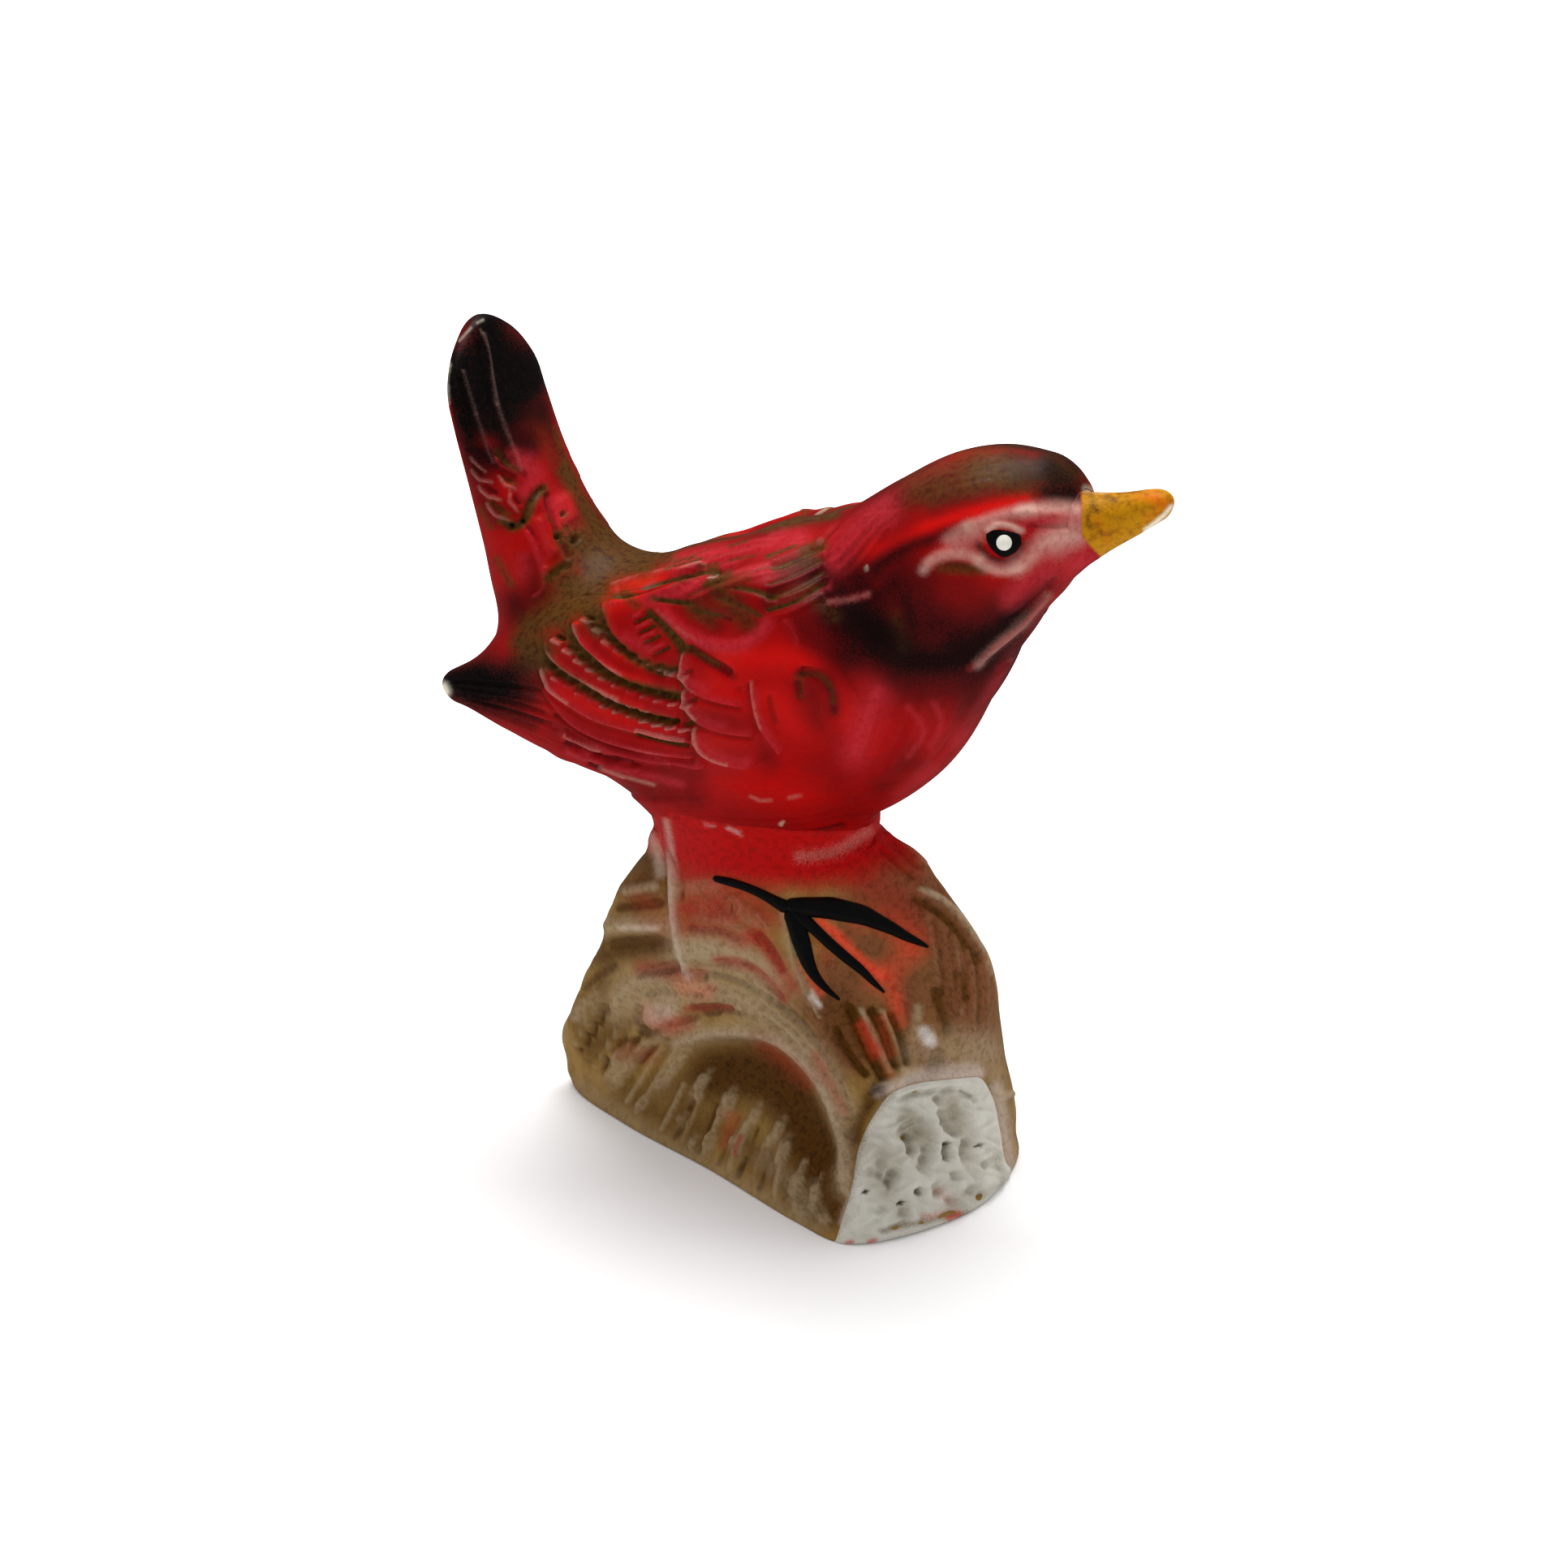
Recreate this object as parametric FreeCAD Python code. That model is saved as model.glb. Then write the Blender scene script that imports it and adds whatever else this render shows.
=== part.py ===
"""Small painted songbird on a log stump, a hollow moulded ornament about 89 mm tall.

Millimetres, +Z up. The origin is on the table under the bird's legs, +X is the way
the bird faces and +Y is its left. Each moulded or painted-on part of the figure is
one solid that meets its neighbours face to face.
"""
import FreeCAD, Part
import math
import os

from FreeCAD import Vector

# Driving sizes: the stump
base_length = 54.0
base_width = 37.0
stump_height = 38.0
wall = 3.0
vent_diameter = 6.0
log_end_width = 18.6
log_end_height = 14.2
log_end_depth = 3.2

# Driving sizes: the legs, moulded as one short pillar
belly_seat_depth = 2.2
leg_length = 23.6
leg_width = 19.2
throat_diameter = 8.0

# Driving sizes: body and head
body_length = 60.0
body_width = 29.0
body_depth = 30.0
body_rise = 27.0

# Driving sizes: beak, tail and wings
beak_length = 11.0
beak_width = 8.4
beak_depth = 7.6
tail_height = 38.9
tail_sweep = 19.6
tail_width = 16.8
tail_thickness = 17.6
wing_length = 52.0
wing_depth = 21.2
wing_thickness = 6.4

# Driving sizes: eyes and feet, raised in thick paint
eye_width = 4.0
eye_bulge = 1.0
glint_width = 1.8
glint_bulge = 0.5
toe_width = 1.8
toe_depth = 1.4
foot_spread = 11.4
foot_drop = 9.2

# Bird form: share of body length, share of the rise, then half width as a share of
# half the body width, and reach above and below the spine as shares of body depth
perch_share = 0.435
body_shares = (
    (0.000, 0.000, 0.04, 0.020, 0.020),
    (0.020, 0.015, 0.38, 0.185, 0.200),
    (0.120, 0.060, 0.68, 0.365, 0.450),
    (0.270, 0.126, 0.90, 0.455, 0.605),
    (0.420, 0.220, 1.00, 0.428, 0.620),
    (0.550, 0.370, 0.99, 0.395, 0.585),
    (0.660, 0.570, 0.89, 0.370, 0.478),
    (0.745, 0.740, 0.79, 0.350, 0.362),
    (0.830, 0.867, 0.72, 0.337, 0.300),
    (0.900, 0.933, 0.60, 0.305, 0.240),
    (0.960, 0.978, 0.42, 0.246, 0.158),
    (0.990, 0.996, 0.26, 0.138, 0.112),
    (1.000, 1.000, 0.03, 0.014, 0.014),
)
neck_share = 0.700
neck_turn_share = 0.62
neck_block_share = 2.0
spine_clear_share = 0.672
spine_lift_share = 0.22

# Beak: share of its length, share of its lift, then half width, up and down as
# shares of half the beak width and of the beak depth
beak_root_share = 0.960
beak_lift_share = 0.42
beak_shares = (
    (0.00, 0.00, 1.00, 0.447, 0.553),
    (0.23, 0.26, 0.79, 0.342, 0.474),
    (0.55, 0.57, 0.55, 0.250, 0.329),
    (0.84, 0.87, 0.31, 0.158, 0.171),
    (0.96, 0.97, 0.17, 0.086, 0.092),
    (1.00, 1.00, 0.03, 0.016, 0.016),
)

# Tail: share of its sweep back, share of its height, half width as a share of half
# the tail width, and half thickness as a share of the root's thickness
tail_root_share = 0.135
tail_shares = (
    (0.00, 0.000, 0.83, 0.460),
    (0.29, 0.141, 0.84, 0.515),
    (0.49, 0.283, 0.86, 0.418),
    (0.64, 0.437, 0.88, 0.293),
    (0.76, 0.591, 0.93, 0.206),
    (0.86, 0.746, 1.00, 0.125),
    (0.93, 0.874, 0.95, 0.088),
    (0.97, 0.951, 0.64, 0.064),
    (1.00, 0.995, 0.16, 0.028),
    (1.00, 1.000, 0.03, 0.010),
)

# Wing: share of its length from the shoulder back, share of the body rise for its
# height, side place as a share of half the body width, then half thickness, up and
# down as shares of the wing's thickness and depth
wing_root_share = 0.640
wing_shares = (
    (0.000, 0.520, 0.680, 0.05, 0.024, 0.024),
    (0.025, 0.500, 0.700, 0.38, 0.236, 0.236),
    (0.120, 0.415, 0.740, 0.50, 0.400, 0.434),
    (0.272, 0.290, 0.760, 0.50, 0.472, 0.519),
    (0.465, 0.186, 0.660, 0.48, 0.448, 0.453),
    (0.657, 0.090, 0.500, 0.47, 0.377, 0.340),
    (0.830, 0.022, 0.370, 0.41, 0.250, 0.194),
    (0.955, -0.030, 0.330, 0.27, 0.118, 0.085),
    (0.995, -0.053, 0.340, 0.08, 0.030, 0.026),
    (1.000, -0.056, 0.340, 0.03, 0.012, 0.012),
)

# Leg pillar: share of the way up from its seat, then x of the middle as a share of
# the leg length, half length and half width as shares of half the pillar's sizes. Its
# width runs from the seat's, a share of the stump's width, to the leg width at the belly
leg_seat_share = 0.80
leg_top_share = 0.307
leg_seat_width_share = 0.42
throat_x_share = -0.100
leg_shares = (
    (0.00, -0.060, 0.92, 0.96),
    (0.20, -0.075, 0.96, 1.04),
    (0.42, -0.100, 0.97, 1.07),
    (0.70, -0.140, 1.00, 1.06),
    (1.00, -0.200, 1.10, 1.08),
)

# Stump outline at each level, as shares of the stump height, base length and width.
# The points run from the left end along the seen face to its front corner, across
# the log's cut end, and back round the far side
stump_shares = (
    (0.000, ((-.526, .032), (-.340, -.137), (-.080, -.286), (.178, -.450), (.310, -.490),
             (.424, -.302), (.476, -.030), (.402, .324), (.093, .527), (-.260, .473), (-.472, .270))),
    (0.184, ((-.532, .024), (-.333, -.092), (-.063, -.205), (.176, -.362), (.300, -.416),
             (.400, -.250), (.446, -.006), (.390, .324), (.093, .519), (-.260, .460), (-.463, .260))),
    (0.342, ((-.497, .011), (-.322, -.086), (-.056, -.195), (.163, -.297), (.274, -.330),
             (.370, -.184), (.418, .016), (.378, .308), (.093, .497), (-.260, .432), (-.443, .243))),
    (0.526, ((-.428, -.016), (-.296, -.124), (-.074, -.211), (.122, -.265), (.228, -.262),
             (.340, -.125), (.404, .040), (.363, .281), (.093, .446), (-.240, .378), (-.390, .216))),
    (0.711, ((-.362, -.041), (-.259, -.141), (-.065, -.227), (.100, -.243), (.189, -.213),
             (.274, -.092), (.340, .058), (.315, .235), (.074, .365), (-.194, .311), (-.318, .178))),
    (0.842, ((-.312, -.054), (-.233, -.151), (-.056, -.222), (.089, -.216), (.163, -.178),
             (.236, -.072), (.292, .056), (.270, .190), (.056, .286), (-.148, .254), (-.270, .135))),
    (0.947, ((-.262, -.054), (-.196, -.130), (-.048, -.168), (.074, -.162), (.135, -.127),
             (.204, -.050), (.250, .046), (.220, .132), (.037, .205), (-.119, .178), (-.215, .095))),
    (1.000, ((-.196, -.035), (-.148, -.086), (-.037, -.114), (.052, -.108), (.096, -.084),
             (.141, -.032), (.167, .030), (.148, .081), (.026, .127), (-.085, .111), (-.156, .060))),
)
cavity_low_share = 0.18
cavity_top_share = 0.90
cavity_floor_share = 1.5
vent_place_shares = (-0.16, 0.11)

# Log's cut end: the stump's front corner where its face starts, the way the face runs,
# and the arch of the face as shares of its width and height
log_corner_shares = (0.310, -0.490)
log_turn_degrees = 61.5
log_arch_shares = (
    (-0.03, -0.05), (0.02, 0.30), (0.09, 0.60), (0.19, 0.84), (0.34, 0.96),
    (0.62, 1.00), (0.85, 0.97), (0.97, 0.80), (1.03, 0.40), (1.06, -0.05),
)

# Eye: place on the head, as shares of the body length and body rise
eye_x_share = 0.903
eye_z_share = 0.985

# Foot: its place as shares of the base length, the base width and the stump height.
# Toes, from the hub to the tip: a point is forward and outward in shares of the foot's
# spread, upward in shares of its drop, then the toe's width there
foot_place_shares = (0.100, -0.232, 0.858)
toe_lift_share = 0.40
hub_width_share = 1.3
toe_shares = {
    "hind": ((0.00, 0.00, 0.00, 0.80), (-0.36, -0.05, 0.09, 0.62), (-0.78, -0.12, 0.23, 0.40)),
    "outer": ((0.00, 0.00, 0.00, 0.80), (0.18, 0.14, 0.05, 0.95), (0.37, 0.29, 0.02, 0.95),
              (0.76, 0.52, -0.27, 0.80), (1.00, 0.68, -0.57, 0.26)),
    "middle": ((0.00, 0.00, 0.00, 0.80), (0.32, 0.08, -0.38, 0.72), (0.60, 0.16, -0.69, 0.64),
               (0.78, 0.20, -0.95, 0.24)),
    "inner": ((0.00, 0.00, 0.00, 0.80), (0.01, -0.01, -0.42, 1.00), (0.16, -0.04, -0.71, 0.86),
              (0.46, -0.04, -1.00, 0.26)),
}

half_turn_degrees = 180.0
section_points = 16


def closed_wire(points):
    """One smooth closed outline through the points."""
    curve = Part.BSplineCurve()
    curve.interpolate(Points=points, PeriodicFlag=True)
    return Part.Wire([curve.toShape()])


def loft(wires):
    """A smooth closed solid through the outlines, caps included."""
    return Part.makeLoft(wires, True, False)


def egg_points(centre, side, up, half_width, reach_up, reach_down):
    """Points of an egg-shaped outline: half ellipses above and below one middle line."""
    points = []
    for step in range(section_points):
        angle = 2 * math.pi * step / section_points
        reach = reach_up if math.cos(angle) > 0 else reach_down
        points.append(centre + side * (half_width * math.sin(angle)) + up * (reach * math.cos(angle)))
    return points


def along(path, index):
    """Unit direction of the path at a station, from the stations on both sides."""
    before = path[max(index - 1, 0)]
    after = path[min(index + 1, len(path) - 1)]
    return (after - before).normalize()


def egg_loft(path, halves, side):
    """A loft of egg outlines square to a path. halves holds half width, up and down."""
    wires = []
    for index, centre in enumerate(path):
        way = along(path, index)
        across = side - way * side.dot(way)
        across.normalize()
        up = way.cross(across)
        half_width, reach_up, reach_down = halves[index]
        wires.append(closed_wire(egg_points(centre, across, up, half_width, reach_up, reach_down)))
    return loft(wires)


def mirrored(shape):
    """The same solid on the bird's other side."""
    return shape.mirror(Vector(), Vector(0, 1, 0))


def one_solid(shape):
    """The largest solid of a cut, clean of its crumbs."""
    return max(shape.Solids, key=lambda solid: solid.Volume)


LEFT = Vector(0, 1, 0)
belly_height = stump_height - belly_seat_depth
spine_start = belly_height + body_depth * spine_clear_share - body_rise * spine_lift_share


def body_point(x_share, z_share, y=0.0):
    """A point named by its share of the body's length and of its rise."""
    return Vector((x_share - perch_share) * body_length, y, spine_start + z_share * body_rise)


def bird_form(inset=0.0):
    """Body and head in one egg-sectioned form, drawn in all round by the inset."""
    path = []
    halves = []
    for x_share, z_share, width, up, down in body_shares:
        sizes = (width * body_width / 2 - inset, up * body_depth - inset, down * body_depth - inset)
        if min(sizes) > inset or not inset:
            path.append(body_point(x_share, z_share))
            halves.append(sizes)
    return egg_loft(path, halves, LEFT)


def neck_block():
    """Everything in front of the neck's sloping parting plane."""
    size = body_length * neck_block_share
    block = Part.makeBox(size, size, size, Vector(0, -size / 2, -size / 2))
    slope = math.atan2(body_rise, body_length * neck_turn_share) * half_turn_degrees / math.pi
    block.rotate(Vector(), LEFT, -slope)
    block.translate(body_point(neck_share, neck_share))
    return block


def beak_form():
    """The beak before it is seated on the face."""
    root = body_point(beak_root_share, beak_root_share)
    path = []
    halves = []
    for x_share, z_share, width, up, down in beak_shares:
        path.append(root + Vector(x_share * beak_length, 0, z_share * beak_length * beak_lift_share))
        halves.append((width * beak_width / 2, up * beak_depth, down * beak_depth))
    return egg_loft(path, halves, LEFT)


def tail_form():
    """The cocked tail, thick at the root and thin at the tip."""
    root = body_point(tail_root_share, 0.0)
    path = []
    halves = []
    for x_share, z_share, width, thick in tail_shares:
        path.append(root + Vector(-x_share * tail_sweep, 0, z_share * tail_height))
        half_thick = thick * tail_thickness
        halves.append((width * tail_width / 2, half_thick, half_thick))
    return egg_loft(path, halves, LEFT)


def wing_form():
    """The bird's right wing, a flat pod from the shoulder to the tip."""
    path = []
    halves = []
    for back, z_share, side, thick, up, down in wing_shares:
        shoulder = body_point(wing_root_share, z_share)
        y = -(side * body_width / 2 + wing_thickness * thick / 2)
        path.append(Vector(shoulder.x - back * wing_length, y, shoulder.z))
        halves.append((thick * wing_thickness, up * wing_depth, down * wing_depth))
    return egg_loft(path, halves, LEFT)


def leg_form():
    """The legs and feathering between the stump's top and the belly, as one pillar."""
    seat = stump_height * leg_seat_share
    top = belly_height + body_depth * leg_top_share
    seat_width = leg_seat_width_share * base_width
    wires = []
    for rise, x_share, long_share, wide_share in leg_shares:
        centre = Vector(x_share * leg_length, 0, seat + rise * (top - seat))
        half_long = long_share * leg_length / 2
        half_wide = wide_share * (seat_width + rise * (leg_width - seat_width)) / 2
        ahead = Vector(1, 0, 0)
        wires.append(closed_wire(egg_points(centre, LEFT, ahead, half_wide, half_long, half_long)))
    return loft(wires)


def stump_level(z_share, shares, inset):
    """One outline of the stump, each point drawn towards the middle by the inset."""
    middle = Vector()
    points = []
    for x_share, y_share in shares:
        point = Vector(x_share * base_length, y_share * base_width, z_share * stump_height)
        points.append(point)
        middle += point
    middle /= len(points)
    drawn = []
    for point in points:
        inward = middle - point
        inward.normalize()
        drawn.append(point + inward * inset)
    return drawn


def stump_form():
    """The stump's outer form, solid, its foot flat on the table."""
    return loft([closed_wire(stump_level(z_share, shares, 0.0)) for z_share, shares in stump_shares])


def stump_cavity():
    """The hollow left when the slip is poured out, one wall inside the stump and its log end."""
    wires = []
    for z_share, shares in stump_shares:
        if cavity_low_share <= z_share <= cavity_top_share:
            wires.append(closed_wire(stump_level(z_share, shares, wall)))
    low_share, low_outline = stump_shares[0]
    floor = [Vector(p.x, p.y, wall) for p in stump_level(low_share, low_outline, wall * cavity_floor_share)]
    return one_solid(loft([closed_wire(floor)] + wires).cut(log_block(wall)))


def throat_bore():
    """The bore that joins the stump's hollow to the body's, up through the leg pillar."""
    base = Vector(throat_x_share * leg_length, 0, stump_height / 2)
    return Part.makeCylinder(throat_diameter / 2, belly_height + body_depth / 2 - base.z, base)


def vent_bore():
    """The drain hole through the stump's floor."""
    x_share, y_share = vent_place_shares
    base = Vector(x_share * base_length, y_share * base_width, -wall / 2)
    return Part.makeCylinder(vent_diameter / 2, wall * 2, base)


def log_block(clear=0.0):
    """The arched block of the log's cut end, square to its face, grown by a clearance."""
    x_share, y_share = log_corner_shares
    corner = Vector(x_share * base_length, y_share * base_width, 0)
    width = log_end_width + 2 * clear
    height = log_end_height + clear
    points = [Vector(0, a * width - clear, h * height) for a, h in log_arch_shares]
    curve = Part.BSplineCurve()
    curve.interpolate(Points=points)
    edge = curve.toShape()
    wire = Part.Wire([edge, Part.makeLine(points[-1], points[0])])
    reach = log_end_depth + clear
    block = Part.Face(wire).extrude(Vector(reach + log_end_width, 0, 0))
    block.translate(Vector(-reach, 0, 0))
    block.rotate(Vector(), Vector(0, 0, 1), log_turn_degrees - half_turn_degrees / 2)
    block.translate(corner)
    return block


def skin_point(shape, x, z):
    """Where a line from the bird's right side first meets the shape at this x and z."""
    probe = Part.makeLine(Vector(x, -body_width, z), Vector(x, 0, z))
    inside = probe.common(shape)
    nearest = min(vertex.Y for vertex in inside.Vertexes)
    return Vector(x, nearest, z)


def bead(centre, out, width, bulge):
    """A low round bead of thick paint: a ball flattened along the way out."""
    ball = Part.makeSphere(width / 2)
    squeeze = FreeCAD.Matrix()
    squeeze.scale(1, 1, 2 * bulge / width)
    ball = ball.transformGeometry(squeeze)
    turn = FreeCAD.Rotation(Vector(0, 0, 1), out)
    ball.Placement = FreeCAD.Placement(centre, turn)
    return ball


def nearest_skin(shape, point):
    """The point of the shape's skin nearest to a point, and the way out there."""
    distance, pairs, info = shape.distToShape(Part.Vertex(point))
    place = pairs[0][0]
    for face in shape.Faces:
        if face.distToShape(Part.Vertex(place))[0] < face.Tolerance * 2:
            u, v = face.Surface.parameter(place)
            return place, face.normalAt(u, v)
    return place, (point - place).normalize()


def toe(ground, hub, side, shares):
    """One raised toe, half sunk along the skin it is painted on, its sections not twisted."""
    path = []
    halves = []
    mean_out = Vector()
    for ahead, outward, rise, width in shares:
        guess = hub + Vector(ahead * foot_spread, side * outward * foot_spread, rise * foot_drop)
        place, out = nearest_skin(ground, guess)
        reach = width * toe_depth / 2
        path.append(place + out * (toe_lift_share * reach))
        mean_out += out
        halves.append((width * toe_width / 2, reach, reach))
    wires = []
    for index, centre in enumerate(path):
        way = along(path, index)
        out = mean_out - way * mean_out.dot(way)
        out.normalize()
        across = way.cross(out)
        half_width, reach_up, reach_down = halves[index]
        wires.append(closed_wire(egg_points(centre, across, out, half_width, reach_up, reach_down)))
    return loft(wires)


def foot_form(ground, side):
    """A foot of four toes that meet at one hub. side is 1 on the right and -1 on the left."""
    x_share, y_share, z_share = foot_place_shares
    hub = Vector(x_share * base_length, side * y_share * base_width, z_share * stump_height)
    place, out = nearest_skin(ground, hub)
    foot = bead(place, out, toe_width * hub_width_share, toe_depth * hub_width_share / 2)
    for shares in toe_shares.values():
        foot = foot.fuse(toe(ground, hub, side, shares))
    return foot


def build():
    """All solids of the figure by node name."""
    form = bird_form()
    hollow = bird_form(wall)
    ahead = neck_block()
    stump_outer = stump_form()
    log = log_block()

    throat = throat_bore()

    parts = {}
    stump = stump_outer.cut(form).cut(log).cut(stump_cavity()).cut(throat).cut(vent_bore())
    parts["stump"] = one_solid(stump)
    parts["log_end"] = stump_outer.common(log)
    legs = leg_form().cut(stump_outer).cut(form)
    parts["leg_pillar"] = one_solid(legs).cut(throat)
    parts["torso"] = one_solid(form.cut(ahead)).cut(hollow).cut(throat)
    parts["head"] = one_solid(form.common(ahead)).cut(hollow)
    parts["beak"] = one_solid(beak_form().cut(form))
    parts["tail"] = one_solid(tail_form().cut(form))

    wing = one_solid(wing_form().cut(form).cut(parts["tail"]))
    parts["right_wing"] = wing
    parts["left_wing"] = mirrored(wing)

    eye_guess = body_point(eye_x_share, eye_z_share)
    eye_place = skin_point(form, eye_guess.x, eye_guess.z)
    eye_place, eye_out = nearest_skin(form, eye_place)
    eye_ball = bead(eye_place, eye_out, eye_width, eye_bulge)
    glint_ball = bead(eye_place + eye_out * eye_bulge, eye_out, glint_width, glint_bulge)
    eye = one_solid(eye_ball.cut(form))
    glint = one_solid(glint_ball.cut(eye_ball).cut(form))
    parts["right_eye"] = eye
    parts["left_eye"] = mirrored(eye)
    parts["right_eye_glint"] = glint
    parts["left_eye_glint"] = mirrored(glint)

    ground = stump_outer.fuse(leg_form().cut(stump_outer)).removeSplitter()
    parts["right_foot"] = one_solid(foot_form(ground, 1).cut(ground).cut(form))
    parts["left_foot"] = one_solid(foot_form(ground, -1).cut(ground).cut(form))
    return parts


def main():
    os.makedirs("parts", exist_ok=True)
    for name, shape in build().items():
        shape.exportStep(os.path.join("parts", name + ".step"))
        box = shape.BoundBox
        print(name, "solids", len(shape.Solids), "valid", shape.isValid(), "volume", round(shape.Volume, 1),
              "x", round(box.XMin, 1), round(box.XMax, 1), "y", round(box.YMin, 1), round(box.YMax, 1),
              "z", round(box.ZMin, 1), round(box.ZMax, 1))


main()
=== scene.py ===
# %% [markdown]
# # A painted songbird on a log stump
# The real figure is one hollow casting in thick glossy paint. Its forms run into each
# other without an edge, the feathers are shallow cuts and lips in the skin, and the
# colours are sprayed soft over them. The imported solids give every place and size. This
# lesson gives the figure its blended skin, its carved relief and its paint.

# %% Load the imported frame
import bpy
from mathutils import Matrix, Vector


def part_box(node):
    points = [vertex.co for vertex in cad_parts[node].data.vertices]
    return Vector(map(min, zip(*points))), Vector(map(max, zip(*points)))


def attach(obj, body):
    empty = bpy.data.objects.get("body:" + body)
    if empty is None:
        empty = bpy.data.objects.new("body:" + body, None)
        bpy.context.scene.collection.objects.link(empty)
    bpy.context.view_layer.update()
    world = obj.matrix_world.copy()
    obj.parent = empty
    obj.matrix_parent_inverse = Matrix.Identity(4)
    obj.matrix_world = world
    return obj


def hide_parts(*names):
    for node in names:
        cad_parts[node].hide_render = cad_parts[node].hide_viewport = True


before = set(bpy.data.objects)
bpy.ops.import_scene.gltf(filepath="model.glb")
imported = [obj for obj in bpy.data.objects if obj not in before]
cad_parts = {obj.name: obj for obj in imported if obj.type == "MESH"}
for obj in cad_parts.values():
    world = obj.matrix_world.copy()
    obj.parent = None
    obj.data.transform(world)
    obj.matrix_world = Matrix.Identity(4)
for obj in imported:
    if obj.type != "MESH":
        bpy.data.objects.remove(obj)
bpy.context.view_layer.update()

import math

import bpy
import numpy as np
from mathutils import Matrix, Vector

print("packed nodes:", len(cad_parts))

# %% [markdown]
# ## Sizes
# All shapes are worked out in millimetres and divided by a thousand when a mesh is made.
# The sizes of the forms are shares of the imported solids' boxes, so the skin follows the
# solids when they change.

# %% Sizes from the solids
METRE = 1000.0


def corners(node):
    """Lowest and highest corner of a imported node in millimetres."""
    low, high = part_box(node)
    return np.array(low) * METRE, np.array(high) * METRE


torso_low, torso_high = corners("torso")
head_high = corners("head")[1]
stump_low, stump_high = corners("stump")
tail_low, tail_high = corners("tail")
wing_low, wing_high = corners("right_wing")
beak_low, beak_high = corners("beak")
leg_low, leg_high = corners("leg_pillar")

figure_height = tail_high[2]
body_length = 0.983 * (head_high[0] - torso_low[0])
body_width = 0.99 * (torso_high[1] - torso_low[1])
body_depth = 0.6225 * (head_high[2] - torso_low[2])
body_rise = 0.9 * body_depth
belly_low = torso_low[2]
tail_height = 0.4375 * figure_height
tail_sweep = 1.039 * (tail_high[0] - tail_low[0])
tail_width = 0.985 * (tail_high[1] - tail_low[1])
tail_thickness = 0.933 * (tail_high[0] - tail_low[0])
wing_length = 0.993 * (wing_high[0] - wing_low[0])
wing_depth = 0.848 * (wing_high[2] - wing_low[2])
wing_thickness = 0.524 * (wing_high[1] - wing_low[1])
beak_length = 1.17 * (beak_high[0] - beak_low[0])
beak_width = 1.24 * (beak_high[1] - beak_low[1])
beak_depth = 0.845 * (beak_high[2] - beak_low[2])
leg_length = 1.033 * (leg_high[0] - leg_low[0])
leg_width = 0.992 * (leg_high[1] - leg_low[1])
base_length = 0.9576 * (stump_high[0] - stump_low[0])
base_width = 0.9724 * (stump_high[1] - stump_low[1])
stump_height = 0.4274 * figure_height
print("body", round(body_length, 1), round(body_width, 1), round(body_depth, 1),
      "tail", round(tail_height, 1), "wing", round(wing_length, 1),
      "stump", round(base_length, 1), round(base_width, 1), round(stump_height, 1))

# %% [markdown]
# ## The camera and the frame it sees
# The camera stands a little to the front of the bird's right side and looks down on it.
# Relief and paint are drawn in the frame of that view, as strokes whose points
# are pixels of a square 1932 pixels wide, and are carried onto the skin from there. The
# bird is alike on both sides, so its left side takes the drawing of its right side.

# %% The view
photo_size = 1932
view_azimuth = math.radians(28)
view_elevation = math.radians(22)
camera_distance = 450.0
focal_pixels = 5040.0
origin_pixel = np.array((973.0, 1407.0))
frame_centre = photo_size / 2

view_right = np.array((math.cos(view_azimuth), math.sin(view_azimuth), 0.0))
view_back = np.array((math.sin(view_azimuth) * math.cos(view_elevation),
                      -math.cos(view_azimuth) * math.cos(view_elevation),
                      math.sin(view_elevation)))
view_up = np.cross(view_back, view_right)
shift_right, shift_down = (origin_pixel - frame_centre) / focal_pixels
camera_place = camera_distance * (view_back - shift_right * view_right + shift_down * view_up)


def seen(points):
    """Pixels at which points show: the focal length times their place to the right over
    their depth, and times their place upwards over their depth."""
    offset = points - camera_place
    depth = -(offset @ view_back)
    across = frame_centre + focal_pixels * (offset @ view_right) / depth
    down = frame_centre - focal_pixels * (offset @ view_up) / depth
    return np.stack((across, down), -1)


def sight_lines(pixels):
    """Unit directions from the camera through pixels."""
    pixels = np.asarray(pixels, float)
    across = (pixels[..., :1] - frame_centre) / focal_pixels
    down = (pixels[..., 1:] - frame_centre) / focal_pixels
    lines = across * view_right - down * view_up - view_back
    return lines / np.linalg.norm(lines, axis=-1, keepdims=True)


print("the origin shows at", seen(np.zeros(3)).round(1))

# %% [markdown]
# ## Limbs
# Body, tail, wing, beak and legs are limbs: egg-shaped sections carried square to a
# smooth path. Such a shape is a function of two parameters, and it also has a simple
# distance function, which is what lets neighbouring limbs flow into one skin later.

# %% Smooth curves and steps


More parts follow.
